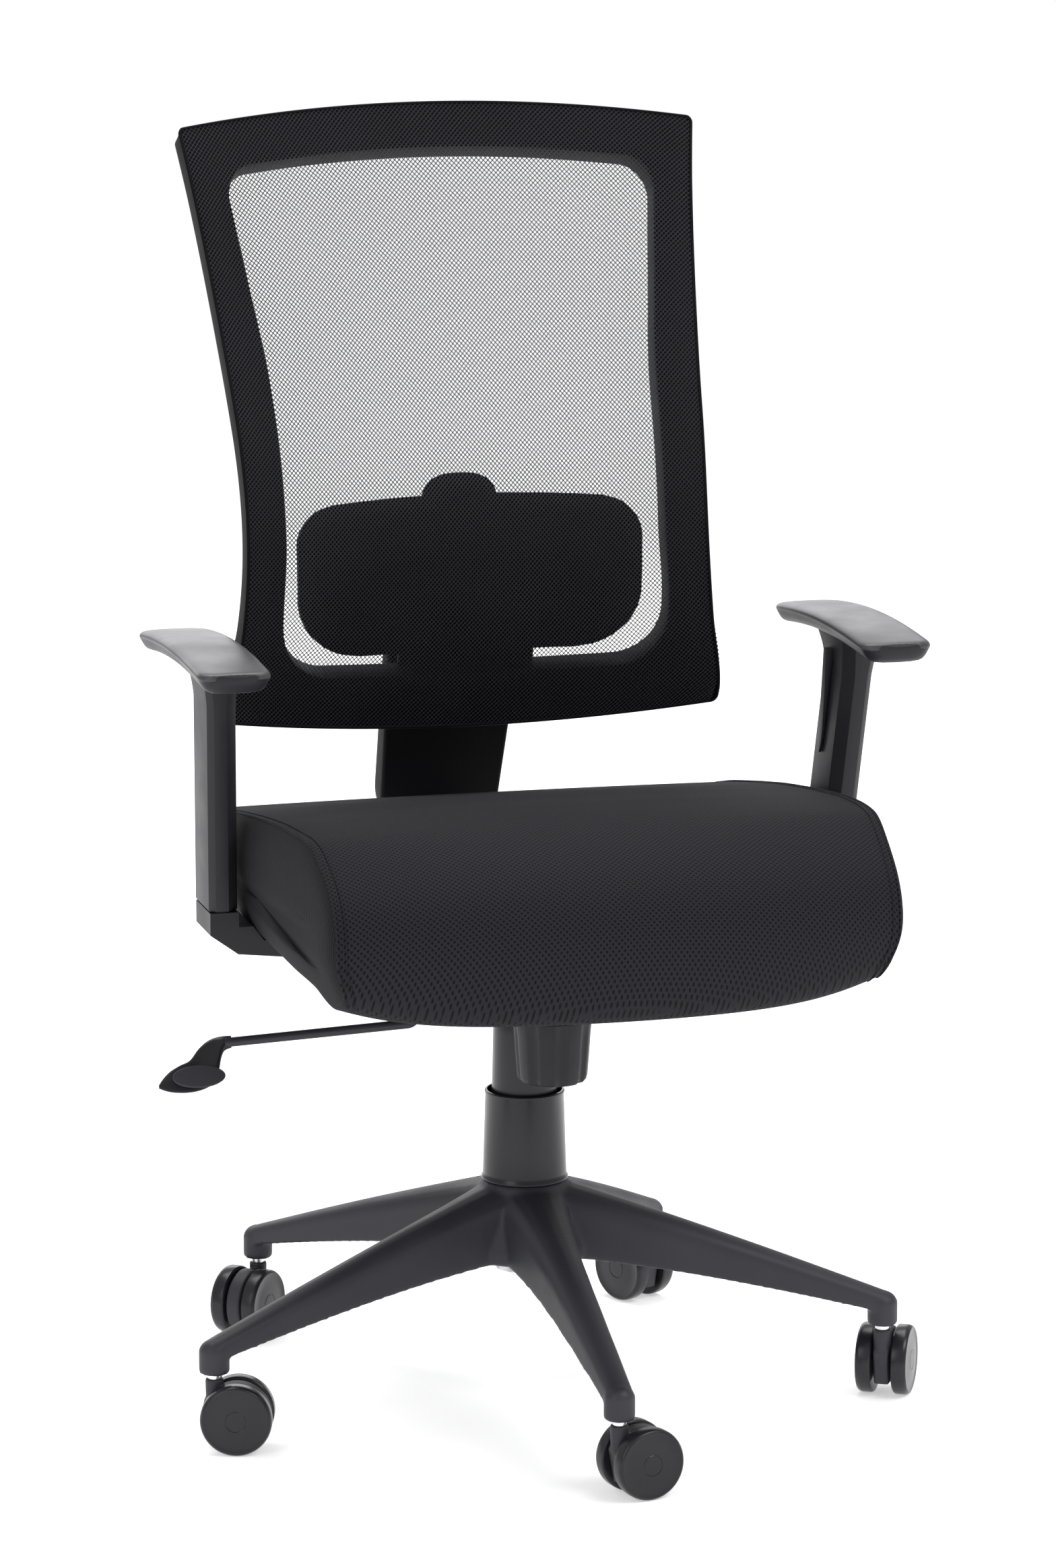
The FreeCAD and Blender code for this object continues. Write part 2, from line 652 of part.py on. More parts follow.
def lever():
    collar = new_body("lock_collar")
    sleeve = sketch_on(collar, "collar_circle", "YZ", "-70")
    circle(sleeve, "lever_y", "lever_z", "9")
    pad(collar, sleeve, "26")
    tongue = sketch_on(collar, "tongue", "YZ", "-70")
    rectangle(tongue, "lever_y - 8", "lever_y + 8", "lever_z", "400")
    pad(collar, tongue, "3.5")
    stud = sketch_on(collar, "stud", "YZ", "-67")
    circle(stud, "lever_y", "396", "3.5")
    pad(collar, stud, "4.5")
    bore = sketch_on(collar, "collar_bore", "YZ")
    circle(bore, "lever_y", "lever_z", "lever_radius + 1")
    pocket(collar, bore)
    pin_hole = sketch_on(collar, "pin_hole", "XZ")
    circle(pin_hole, "fulcrum_x", "lever_z", "1.5")
    collar.Tip = pocket(collar, pin_hole)

    pin = new_body("lever_fulcrum_pin")
    shaft = sketch_on(pin, "shaft", "XZ", "-lever_y")
    circle(shaft, "fulcrum_x", "lever_z", "1.48")
    pad(pin, shaft, "17", midplane=True)

    rod = new_body("lever_rod")
    path = sketch_on(rod, "path", "XZ", "-lever_y")
    bent_path(path, [
        ("-264", "328.5"), ("-104", "335.2"), ("-82", "lever_z"), ("-28", "lever_z"), ("-28", "389"),
    ], "9")
    section = sketch_on(rod, "section", "YZ", "-264")
    circle(section, "lever_y", "328.5", "lever_radius")
    pipe = rod.newObject("PartDesign::AdditivePipe", "rod_pipe")
    pipe.Profile = section
    pipe.Spine = path
    finger = sketch_on(rod, "finger", "XY", "388")
    rectangle(finger, "-34", "8", "lever_y - 6", "6")
    pad(rod, finger, "4")
    fulcrum = sketch_on(rod, "fulcrum_hole", "XZ")
    circle(fulcrum, "fulcrum_x", "lever_z", "1.5 + running_gap")
    rod.Tip = pocket(rod, fulcrum)

    paddle = new_body("lever_paddle")
    leaf = sketch_on(paddle, "leaf", "XZ")
    outline(leaf, [("-52", "-28"), ("4", "-34"), ("9", "3"), ("-12", "8")],
            {0: ("60", 1), 1: ("26", 1), 2: ("60", -1), 3: ("75", 1)})
    pad(paddle, leaf, "5", midplane=True)
    lean = FreeCAD.Rotation(Vector(1, 0, 0), -32)
    place = Vector(-273.5, value("lever_y"), 326)
    paddle.Placement = FreeCAD.Placement(place, lean)


# ---------------------------------------------------------------- seat

def seat_plate():
    body = new_body("seat_plate")
    top = sketch_on(body, "top", "XY", "plate_bottom")
    rectangle(top, "-plate_half_width", "plate_half_width", "-plate_half_depth", "plate_half_depth")
    pad(body, top, "plate_thickness")
    for side, name in ((1, "left"), (-1, "right")):
        middle = f"{side} * (flange_gap + flange_thickness / 2)"
        flange = sketch_on(body, "flange_" + name, "YZ", middle)
        outline(flange, [
            ("-85", "plate_bottom + 1"),
            ("-85", "368"),
            ("-36", "368"),
            ("-36", "388"),
            ("2", "388"),
            ("2", "plate_bottom + 1"),
        ])
        pad(body, flange, "flange_thickness", midplane=True)
    rib = sketch_on(body, "spring_rib", "YZ")
    rectangle(rib, "-28", "-20", "pivot_z + spring_coil + spring_wire + 0.2", "plate_bottom + 1")
    pad(body, rib, "44", midplane=True)
    pin_hole = sketch_on(body, "pin_hole", "YZ")
    circle(pin_hole, "pivot_y", "pivot_z", "pivot_radius + running_gap")
    pocket(body, pin_hole)
    lock_hole = sketch_on(body, "lock_hole", "YZ", "-45")
    circle(lock_hole, "lever_y", "396", "3.9")
    body.Tip = pocket(body, lock_hole, "20")


def seat_pan():
    body = new_body("seat_pan")
    board = sketch_on(body, "board", "XY", "plate_bottom + plate_thickness")
    rectangle(board, "-pan_half_width", "pan_half_width", "pan_front", "pan_rear")
    block = pad(body, board, "pan_thickness")
    doc.recompute()
    corners = [
        f"Edge{i + 1}" for i, edge in enumerate(block.Shape.Edges)
        if abs(edge.tangentAt(edge.FirstParameter).z) > 0.99
    ]
    rounded = body.newObject("PartDesign::Fillet", "corners")
    rounded.Base = (block, corners)
    rounded.Radius = 45


def seat_cushion():
    """Waterfall front, top falling to the rear, sides that pull in towards the bottom."""
    body = new_body("seat_cushion")
    side = sketch_on(body, "side_outline", "YZ")
    outline(side, [
        ("seat_rear - 4", "417"),
        ("seat_rear", "seat_rear_top - 18"),
        ("seat_rear - 16", "seat_rear_top"),
        ("-130", "seat_crest - 7"),
        ("-250", "seat_crest - 3"),
        ("seat_front", "474"),
        ("seat_front + 14", "414"),
        ("-296", "398"),
        ("-240", "417"),
    ], {1: ("18", 1), 2: ("2400", 1), 3: ("650", 1), 4: ("92", 1), 5: ("110", 1)})
    pad(body, side, "2 * seat_half_width", midplane=True)
    trim(body, "plan_outline", "XY", ("-300", "300", "-450", "350"), mirrored_outline([
        ("200", "seat_rear + 1"),
        ("229", "seat_rear - 30"),
        ("seat_half_width - 1", "60"),
        ("seat_half_width", "-120"),
        ("seat_half_width - 7", "-228"),
        ("seat_half_width - 15", "seat_front + 38"),
    ]), {0: ("45", -1), 1: ("900", -1), 2: ("3200", -1), 3: ("900", -1), 4: ("500", -1), 5: ("720", -1)})
    trim(body, "front_outline", "XZ", ("-300", "300", "350", "600"), mirrored_outline([
        ("218", "390"),
        ("226", "416"),
        ("seat_half_width - 3", "440"),
        ("seat_half_width", "470"),
        ("seat_half_width - 10", "560"),
    ]), {1: ("60", 1)})
    recess = sketch_on(body, "pan_recess", "XY", "380")
    rectangle(recess, "-pan_half_width - 0.3", "pan_half_width + 0.3", "pan_front - 0.3", "pan_rear + 0.3")
    recess_depth = "plate_bottom + plate_thickness + pan_thickness + 0.2 - 380"
    body.Tip = pocket(body, recess, recess_depth, reverse=True)


def screws(label, places, head_z, tip_z, head_height="3"):
    """A group of equal screws, heads down, at (x, y) places."""
    body = new_body(label)
    heads = sketch_on(body, "heads", "XY", head_z)
    shanks = sketch_on(body, "shanks", "XY", head_z)
    for x, y in places:
        circle(heads, str(x), str(y), "6")
        circle(shanks, str(x), str(y), "3")
    pad(body, heads, head_height, reverse=True)
    pad(body, shanks, f"({tip_z}) - ({head_z})")
    return body


# ---------------------------------------------------------------- arms

def leaning(x_offset, y_offset, z, side):
    """Point of a sleeve section at height z, as expressions for the given side."""
    x = f"{side} * (arm_x + arm_splay * (({z}) - arm_reference) + ({x_offset}))"
    y = f"arm_y + arm_rake * (({z}) - arm_reference) + ({y_offset})"
    return x, y


def sleeve_section(body, name, z, side, shrink):
    """Horizontal section of a sleeve or post, with its front corners chamfered. shrink goes inward."""
    half_x = f"(sleeve_width / 2 - ({shrink}))"
    half_y = f"(sleeve_depth / 2 - ({shrink}))"
    corners = [
        (half_x, f"{half_y} - 2"),
        (f"{half_x} - 2", half_y),
        (f"-{half_x} + 2", half_y),
        (f"-{half_x}", f"{half_y} - 2"),
        (f"-{half_x}", f"-{half_y} + 9"),
        (f"-{half_x} + 8", f"-{half_y}"),
        (f"{half_x} - 5", f"-{half_y}"),
        (half_x, f"-{half_y} + 5"),
    ]
    sketch = sketch_on(body, name, "XY", z)
    return outline(sketch, [leaning(x, y, z, side) for x, y in corners])


def arm_bracket(name, side):
    """L-shaped bracket: a leg under the seat and a post inside the sleeve."""
    body = new_body("arm_bracket_" + name)
    leg = sketch_on(body, "leg_outline", "XZ", "1")
    outline(leg, [(f"{side} * {x}", z) for x, z in (
        ("276.4", "sleeve_bottom - 0.4"), ("276.4", "422"), ("253", "405"), ("172", "396"), ("120", "398"),
        ("120", "415.6"), ("231", "415.6"), ("240", "428"), ("252.2", "428"),
        ("252.2", "sleeve_bottom - 0.4"))])
    pad(body, leg, "sleeve_depth - 4", midplane=True)
    shrink = "sleeve_wall + slide_gap"
    low = sleeve_section(body, "post_low", "sleeve_bottom - 4", side, shrink)
    high = sleeve_section(body, "post_high", "post_top", side, shrink)
    body.Tip = loft(body, low, high)


def arm_sleeve(name, side):
    """Hollow leaning sleeve with a gusset under the pad and a groove for the release lever."""
    body = new_body("arm_sleeve_" + name)
    low = sleeve_section(body, "outer_low", "sleeve_bottom", side, "0")
    high = sleeve_section(body, "outer_high", "sleeve_top", side, "0")
    loft(body, low, high)
    gusset = sketch_on(body, "gusset", "YZ", f"{side} * (arm_x + arm_splay * (sleeve_top - arm_reference))")
    outline(gusset, [
        ("-14", "602"),
        ("52", "sleeve_top - 5"),
        ("52", "sleeve_top"),
        ("-20", "sleeve_top"),
    ], {0: ("90", -1)})
    pad(body, gusset, "18", midplane=True)
    inner_low = sleeve_section(body, "inner_low", "sleeve_bottom", side, "sleeve_wall")
    inner_high = sleeve_section(body, "inner_high", "sleeve_top - 5", side, "sleeve_wall")
    cavity = body.newObject("PartDesign::SubtractiveLoft", "cavity")
    cavity.Profile = inner_low
    cavity.Sections = [inner_high]
    cavity.Ruled = True
    body.Tip = cavity


def arm_pad(name, side):
    """Arched pad with a thin lip over a narrower underside."""
    body = new_body("arm_pad_" + name)
    profile = sketch_on(body, "side_outline", "YZ", f"{side} * (pad_inner + pad_outer) / 2")
    outline(profile, [
        ("pad_front", "652.6"),
        ("-100", "sleeve_top + 0.1"),
        ("56", "sleeve_top + 0.1"),
        ("pad_rear - 8", "632"),
        ("pad_rear", "646"),
        ("pad_front", "666"),
    ], {2: ("300", -1), 4: ("640", 1)})
    pad(body, profile, "pad_outer - pad_inner", midplane=True)
    reach = (f"{side} * 200", f"{side} * 350", "-250", "200")
    trim(body, "plan_outline", "XY", reach, [(f"{side} * {x}", y) for x, y in (
        ("(pad_inner + 10)", "pad_front - 1"),
        ("(pad_outer - 10)", "pad_front + 5"),
        ("pad_outer", "pad_front + 16"),
        ("(pad_outer - 2)", "pad_rear - 14"),
        ("(pad_outer - 14)", "pad_rear + 1"),
        ("(pad_inner + 14)", "pad_rear + 1"),
        ("pad_inner", "pad_rear - 14"),
        ("pad_inner", "pad_front + 10"),
    )])


def arm_lever(name, side):
    """Long release lever standing off the sleeve's inner face, free at its upper end."""
    body = new_body("arm_lever_" + name)
    inner = "-(sleeve_width / 2) - 0.4"

    def blade(section_name, z, thickness):
        sketch = sketch_on(body, section_name, "XY", z)
        outer = f"{inner} - {thickness}"
        corners = [(inner, "2"), (inner, "15"), (outer, "13"), (outer, "4")]
        return outline(sketch, [leaning(x, y, z, side) for x, y in corners])

    body.Tip = loft(body, blade("foot", "548", "1.6"), blade("head", "638", "6"))


# ---------------------------------------------------------------- back

def back_bar():
    """Flat steel J-bar from under the seat plate up behind the back."""
    body = new_body("back_bar")
    path = sketch_on(body, "path", "YZ")
    bent_path(path, [
        ("62", "bar_z"),
        ("bar_corner_y", "bar_z"),
        ("bar_corner_y - bar_rise * sin(bar_lean)", "bar_z + bar_rise * cos(bar_lean)"),
    ], "bar_bend")
    section = sketch_on(body, "section", "XZ", "-62")
    rectangle(section, "-bar_width / 2", "bar_width / 2",
              "bar_z - bar_thickness / 2", "bar_z + bar_thickness / 2")
    pipe = body.newObject("PartDesign::AdditivePipe", "bent_bar")
    pipe.Profile = section
    pipe.Spine = path


def along_bar(distance, across):
    """Point at a distance up the bar's upright run and a distance behind its middle."""
    y = f"bar_corner_y - ({distance}) * sin(bar_lean) + ({across}) * cos(bar_lean)"
    z = f"bar_z + ({distance}) * cos(bar_lean) + ({across}) * sin(bar_lean)"
    return y, z


def back_bar_cover():
    """Wide moulded cover round the bar's upright run."""
    body = new_body("back_bar_cover")
    side = sketch_on(body, "side_outline", "YZ")
    outline(side, [
        along_bar("50", "-15"),
        along_bar("232", "-12"),
        along_bar("236", "13"),
        along_bar("66", "19"),
        along_bar("48", "8"),
        along_bar("46", "-11"),
    ])
    pad(body, side, "126", midplane=True)
    trim(body, "front_outline", "XZ", ("-90", "90", "420", "680"), mirrored_outline([
        ("53", "440"), ("61", "645")]))
    slot = sketch_on(body, "bar_slot", "YZ")
    half = "(bar_thickness / 2 + 0.2)"
    outline(slot, [
        along_bar("36", "-17.5"),
        along_bar("62", "-6.5"),
        along_bar("78", "-" + half),
        along_bar("bar_rise + 1", "-" + half),
        along_bar("bar_rise + 1", half),
        along_bar("36", half),
    ])
    cut = body.newObject("PartDesign::Pocket", "bar_channel")
    cut.Profile = slot
    cut.setExpression("Length", bound("bar_width + 0.6"))
    cut.Midplane = True
    body.Tip = cut


def back_band(body, name, front, rear, low_angle="back_low_angle"):
    """Doubly curved band: the lumbar curve and the straight upper run, turned about the plan axis."""
    def on_curve(radius, angle):
        return f"back_curve_y - ({radius}) * cos({angle})", f"back_curve_z + ({radius}) * sin({angle})"

    def on_straight(radius):
        y, z = on_curve(radius, "back_high_angle")
        return f"{y} + back_straight * sin(back_high_angle)", f"{z} + back_straight * cos(back_high_angle)"

    sketch = sketch_on(body, name, "YZ")
    outline(sketch, [
        on_curve(front, low_angle),
        on_curve(rear, low_angle),
        on_curve(rear, "back_high_angle"),
        on_straight(rear),
        on_straight(front),
        on_curve(front, "back_high_angle"),
    ], {1: (rear, -1), 5: (front, 1)})
    return revolve(body, sketch, turn_axis(sketch, "back_plan_axis"), 31, midplane=True)


BACK_REACH = ("-400", "400", "400", "1200")
BACK_EDGE = mirrored_outline([
    ("211", "560"), ("219", "570"), ("202", "715"), ("229", "1050"), ("222", "1057")])
BACK_EDGE_ARCS = {
    0: ("9", 1), 1: ("700", -1), 2: ("2100", -1), 3: ("9", 1), 4: ("1700", 1),
    5: ("9", 1), 6: ("2100", -1), 7: ("700", -1), 8: ("9", 1), 9: ("1300", 1)}
OPENING = mirrored_outline([
    ("116", "594"), ("164", "638"), ("164", "716"), ("189", "1000"), ("166", "1023")])
OPENING_ARCS = {0: ("46", 1), 2: ("1900", -1), 3: ("24", 1), 4: ("1900", 1), 5: ("24", 1),
                6: ("1900", -1), 8: ("46", 1)}


def back_frame():
    """Moulded ring with a groove behind its lower bar for the lumbar plate and a boss for the back bar."""
    body = new_body("back_frame")
    back_band(body, "frame_band", "back_curve", "back_curve - back_thickness")
    trim(body, "front_outline", "XZ", BACK_REACH, BACK_EDGE, BACK_EDGE_ARCS)
    opening = sketch_on(body, "opening", "XZ")
    outline(opening, OPENING, OPENING_ARCS)
    pocket(body, opening)
    groove = sketch_on(body, "lumbar_groove", "YZ")
    outline(groove, [
        ("203", "584"),
        ("236", "584"),
        ("236", "612"),
        ("194", "612"),
    ])
    cut = body.newObject("PartDesign::Pocket", "groove_cut")
    cut.Profile = groove
    cut.Length = 126
    cut.Midplane = True
    boss = sketch_on(body, "boss", "YZ")
    outline(boss, [
        ("214", "556"),
        ("260.2", "556"),
        ("243.1", "598"),
        ("224", "598"),
        ("220", "583"),
        ("205", "574"),
    ])
    body.Tip = pad(body, boss, "96", midplane=True)


def back_mesh():
    body = new_body("back_mesh")
    back_band(body, "mesh_band", "back_curve + mesh_thickness", "back_curve + 0.05")
    trim(body, "front_outline", "XZ", BACK_REACH, BACK_EDGE, BACK_EDGE_ARCS)


def lumbar_plate():
    """Curved support plate behind the mesh, with a finger tab on top and a neck in the frame's groove."""
    body = new_body("lumbar_plate")
    back_band(body, "plate_band", "lumbar_front", "lumbar_rear")
    trim(body, "front_outline", "XZ", BACK_REACH, [
        ("-60", "588"), ("60", "588"), ("60", "606"), ("104", "609"), ("153", "662"), ("153", "726"),
        ("134", "746"), ("27", "751"), ("-39", "751"), ("-134", "746"), ("-153", "726"), ("-153", "662"),
        ("-104", "609"), ("-60", "606"),
    ], {3: ("56", 1), 5: ("22", 1), 7: ("34", 1), 9: ("22", 1), 11: ("56", 1)})


# ---------------------------------------------------------------- build

star_base()
gas_spring()
column_covers()
caster_stems()
CASTERS = [(-90, 13.6), (-18, 61), (54, 117.3), (126, -131.5), (198, -16.7)]
for number, (stem_angle, trail_angle) in enumerate(CASTERS, start=1):
    caster(number, stem_angle, trail_angle)
mechanism_housing()
pivot_pin()
tilt_spring()
tension_adjuster()
lever()
seat_plate()
seat_pan()
seat_cushion()
screws("pan_screws", [(x, y) for x in (-66, 66) for y in (-120, 50)], "plate_bottom", "426")
bracket_places = [(side * x, y) for side in (-1, 1) for x in (140, 190) for y in (-18, 16)]
screws("bracket_screws", bracket_places, "401", "427", "6.5")
for name, side in (("left", 1), ("right", -1)):
    arm_bracket(name, side)
    arm_sleeve(name, side)
    arm_pad(name, side)
    arm_lever(name, side)
back_bar()
back_bar_cover()
back_frame()
back_mesh()
lumbar_plate()
back_screws = screws("back_screws", [(x, y) for x in (-24, 24) for y in (-8, 14)], "0", "40")
turn = FreeCAD.Rotation(Vector(1, 0, 0), 90 + value("bar_lean"))
back_screws.Placement = FreeCAD.Placement(Vector(0, 272, 590), turn)
doc.recompute()

for item in doc.Objects:
    if {"Invalid", "Error"} & set(item.State):
        raise RuntimeError(f"{item.Name} failed: {item.State}")
os.makedirs("parts", exist_ok=True)
for part in parts:
    shape = part.Shape
    if shape.isNull() or not shape.isValid() or not shape.Solids:
        raise RuntimeError(f"{part.Label} has no valid solid")
    shape.exportStep(f"parts/{part.Label}.step")
print(f"{len(parts)} sub-parts written")
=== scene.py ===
"""Looks of the swivel office chair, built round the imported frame.

Points are in millimetres, and mesh_piece turns them into metres. The origin is on the floor at the column's
axis, Z is up, and the chair faces -Y. side is 1 on the sitter's left and -1 on the right.
"""

import json
import math

import bpy
import numpy as np
from mathutils import Matrix, Vector


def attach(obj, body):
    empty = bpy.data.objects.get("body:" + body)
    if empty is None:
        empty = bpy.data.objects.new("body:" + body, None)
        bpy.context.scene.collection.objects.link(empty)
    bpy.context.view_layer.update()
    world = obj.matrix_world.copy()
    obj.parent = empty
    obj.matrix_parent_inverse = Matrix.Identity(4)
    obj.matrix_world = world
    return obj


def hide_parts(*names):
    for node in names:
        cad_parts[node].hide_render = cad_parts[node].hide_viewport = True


MM = 0.001
SIDES = (("left", 1), ("right", -1))
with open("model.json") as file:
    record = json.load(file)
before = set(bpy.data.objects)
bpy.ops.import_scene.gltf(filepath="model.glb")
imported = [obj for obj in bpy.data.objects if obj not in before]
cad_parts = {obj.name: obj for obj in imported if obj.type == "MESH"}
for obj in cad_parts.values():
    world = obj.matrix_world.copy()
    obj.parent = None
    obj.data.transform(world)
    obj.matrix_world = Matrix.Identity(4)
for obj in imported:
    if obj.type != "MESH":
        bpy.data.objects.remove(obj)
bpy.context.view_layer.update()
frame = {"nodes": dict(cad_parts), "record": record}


# ---------------------------------------------------------------- mesh helpers

def mesh_piece(name, points, faces, material, smooth_angle=40):
    """A mesh object from points in millimetres."""
    mesh = bpy.data.meshes.new(name)
    mesh.from_pydata((np.asarray(points, dtype=float) * MM).tolist(), [], faces)
    mesh.validate()
    mesh.update()
    obj = bpy.data.objects.new(name, mesh)
    bpy.context.scene.collection.objects.link(obj)
    mesh.materials.append(material)
    shade(obj, smooth_angle)
    return obj


def shade(obj, angle=40):
    """Smooth shading that keeps edges sharper than the angle."""
    mesh = obj.data
    mesh.shade_smooth()
    mesh.set_sharp_from_angle(angle=math.radians(angle))


def freeze(obj):
    """Put the result of the modifiers into the mesh."""
    graph = bpy.context.evaluated_depsgraph_get()
    result = bpy.data.meshes.new_from_object(obj.evaluated_get(graph))
    obj.modifiers.clear()
    obj.data = result
    return obj


def soften(obj, width, segments=3, angle=35):
    """Round the edges sharper than the angle; width in millimetres."""
    bevel = obj.modifiers.new("soften", "BEVEL")
    bevel.width = width * MM
    bevel.segments = segments
    bevel.limit_method = "ANGLE"
    bevel.angle_limit = math.radians(angle)
    freeze(obj)
    shade(obj, 50)
    return obj


def subdivide(obj):
    """One round of subdivision, for soft forms."""
    modifier = obj.modifiers.new("subdivide", "SUBSURF")
    modifier.levels = 1
    modifier.render_levels = 1
    freeze(obj)
    shade(obj, 60)
    return obj


def mix(first, last, t):
    """The value a share t of the way from first to last."""
    return first + (last - first) * t


def circle(steps):
    """Even directions round a circle, as (cosine, sine)."""
    turns = [2 * math.pi * i / steps for i in range(steps)]
    return [(math.cos(turn), math.sin(turn)) for turn in turns]


def loft(rings, closed=False):
    """Points and faces of a skin through equal rings, capped, or with closed joined last to first."""
    count = len(rings[0])
    points = [p for ring in rings for p in ring]
    faces = []
    spans = len(rings) if closed else len(rings) - 1
    for i in range(spans):
        a, b = i * count, ((i + 1) % len(rings)) * count
        for j in range(count):
            k = (j + 1) % count
            faces.append((a + j, a + k, b + k, b + j))
    if not closed:
        faces.append(tuple(reversed(range(count))))
        faces.append(tuple(range(len(points) - count, len(points))))
    return points, faces


def lathe(profile, steps=96):
    """Points and faces of a closed (radius, height) profile turned about the vertical axis."""
    return loft([[(r * c, r * s, z) for r, z in profile] for c, s in circle(steps)], closed=True)


def stack(profile, centre=0.0, steps=32):
    """Points and faces of a capped round skin through (radius, height) rows; centre is its axis along X."""
    return loft([[(centre + r * c, r * s, z) for c, s in circle(steps)] for r, z in profile])


def rounded_ring(half_x, half_y, radius, steps=6):
    """Rounded rectangle about the origin, counter-clockwise. radius may be one number or one per corner."""
    radii = radius if isinstance(radius, (list, tuple)) else [radius] * 4
    ring = []
    for corner, (sx, sy) in enumerate(((1, 1), (-1, 1), (-1, -1), (1, -1))):
        r = radii[corner]
        cx, cy = sx * (half_x - r), sy * (half_y - r)
        for i in range(steps + 1):
            turn = math.radians(90 * (corner + i / steps))
            ring.append((cx + r * math.cos(turn), cy + r * math.sin(turn)))
    return ring


def tube(path, radius, closed=False):
    """Points and faces of a ten-sided tube along a path."""
    path = [Vector(p) for p in path]
    count = len(path)
    rings = []
    side = None
    for i, point in enumerate(path):
        if closed:
            ahead, behind = path[(i + 1) % count], path[i - 1]
        else:
            ahead, behind = path[min(i + 1, count - 1)], path[max(i - 1, 0)]
        along = (ahead - behind).normalized()
        if side is None:
            side = along.orthogonal().normalized()
        side = (side - along * side.dot(along)).normalized()
        up = along.cross(side)
        rings.append([tuple(point + side * (radius * c) + up * (radius * s)) for c, s in circle(10)])
    return loft(rings, closed=closed)


def place(obj, matrix):
    """Move the mesh itself, so the object stays at the origin. Translation in millimetres."""
    shifted = matrix.copy()
    shifted.translation = matrix.translation * MM
    obj.data.transform(shifted)
    return obj


def join(name, pieces):
    """One mesh from several objects with one material."""
    material = pieces[0].data.materials[0]
    points, faces, base = [], [], 0
    for piece in pieces:
        mesh = piece.data
        points += [tuple(v.co / MM) for v in mesh.vertices]
        faces += [tuple(base + i for i in polygon.vertices) for polygon in mesh.polygons]
        base = len(points)
        bpy.data.objects.remove(piece)
    return mesh_piece(name, points, faces, material)


def fuse(name, pieces, voxel, rounds):
    """Union of closed pieces with softly filleted joints. voxel is in millimetres."""
    obj = join(name, pieces)
    remesh = obj.modifiers.new("fuse", "REMESH")
    remesh.mode = "VOXEL"
    remesh.voxel_size = voxel * MM
    smooth = obj.modifiers.new("fillet", "SMOOTH")
    smooth.factor = 0.5
    smooth.iterations = rounds
    freeze(obj)
    shade(obj, 180)
    return obj


def blend_values(table, at):
    """Piecewise smooth interpolation of a small (position, value) table."""
    positions = [row[0] for row in table]
    if at <= positions[0]:
        return table[0][1]
    if at >= positions[-1]:
        return table[-1][1]
    i = max(k for k in range(len(positions) - 1) if positions[k] <= at)
    t = (at - positions[i]) / (positions[i + 1] - positions[i])

    def slope(k):
        low, high = max(k - 1, 0), min(k + 1, len(table) - 1)
        return (table[high][1] - table[low][1]) / (positions[high] - positions[low])

    span = positions[i + 1] - positions[i]
    a, b = table[i][1], table[i + 1][1]
    ta, tb = slope(i) * span, slope(i + 1) * span
    return ((2 * t ** 3 - 3 * t ** 2 + 1) * a + (t ** 3 - 2 * t ** 2 + t) * ta
            + (3 * t ** 2 - 2 * t ** 3) * b + (t ** 3 - t ** 2) * tb)


# ---------------------------------------------------------------- materials

def new_material(name, color, roughness, metallic=0.0, **sockets):
    """A Principled material; sockets are further inputs, with _ for a space."""
    material = bpy.data.materials.new(name)
    material.use_nodes = True
    shader = material.node_tree.nodes["Principled BSDF"]
    shader.inputs["Base Color"].default_value = (*color, 1)
    shader.inputs["Roughness"].default_value = roughness
    shader.inputs["Metallic"].default_value = metallic
    for socket, number in sockets.items():
        shader.inputs[socket.replace("_", " ")].default_value = number
    return material


def add_node(material, kind, **inputs):
    node = material.node_tree.nodes.new(kind)
    for socket, number in inputs.items():
        node.inputs[socket.replace("_", " ")].default_value = number
    return node


def link(material, source, socket, target, name):
    material.node_tree.links.new(source.outputs[socket], target.inputs[name])


def ramp(material, source, socket, low, high, first, last):
    """Map a factor between low and high to two colours or greys."""
    node = material.node_tree.nodes.new("ShaderNodeValToRGB")
    node.color_ramp.elements[0].position = low
    node.color_ramp.elements[1].position = high
    for element, shade_of in zip(node.color_ramp.elements, (first, last)):
        element.color = (*shade_of, 1) if isinstance(shade_of, tuple) else (shade_of, shade_of, shade_of, 1)
    link(material, source, socket, node, "Fac")
    return node


def textured(name, color, roughness, grain, depth, spread=0.06, **sockets):
    """Moulded or coated surface: fine grain as bump, cloudy roughness and a little colour variation."""
    material = new_material(name, color, roughness, **sockets)
    shader = material.node_tree.nodes["Principled BSDF"]
    coordinates = material.node_tree.nodes.new("ShaderNodeTexCoord")
    fine = add_node(material, "ShaderNodeTexNoise", Scale=grain, Detail=3.0, Roughness=0.6)
    cloudy = add_node(material, "ShaderNodeTexNoise", Scale=14.0, Detail=4.0, Roughness=0.55)
    for texture in (fine, cloudy):
        link(material, coordinates, "Object", texture, "Vector")
    bump = add_node(material, "ShaderNodeBump", Strength=0.35, Distance=depth * MM)
    link(material, fine, "Fac", bump, "Height")
    link(material, bump, "Normal", shader, "Normal")
    gloss = ramp(material, cloudy, "Fac", 0.3, 0.7, roughness - spread, roughness + spread)
    link(material, gloss, "Color", shader, "Roughness")
    lighter = tuple(c * 1.25 + 0.002 for c in color)
    tint = ramp(material, cloudy, "Fac", 0.25, 0.8, color, lighter)
    link(material, tint, "Color", shader, "Base Color")
    return material


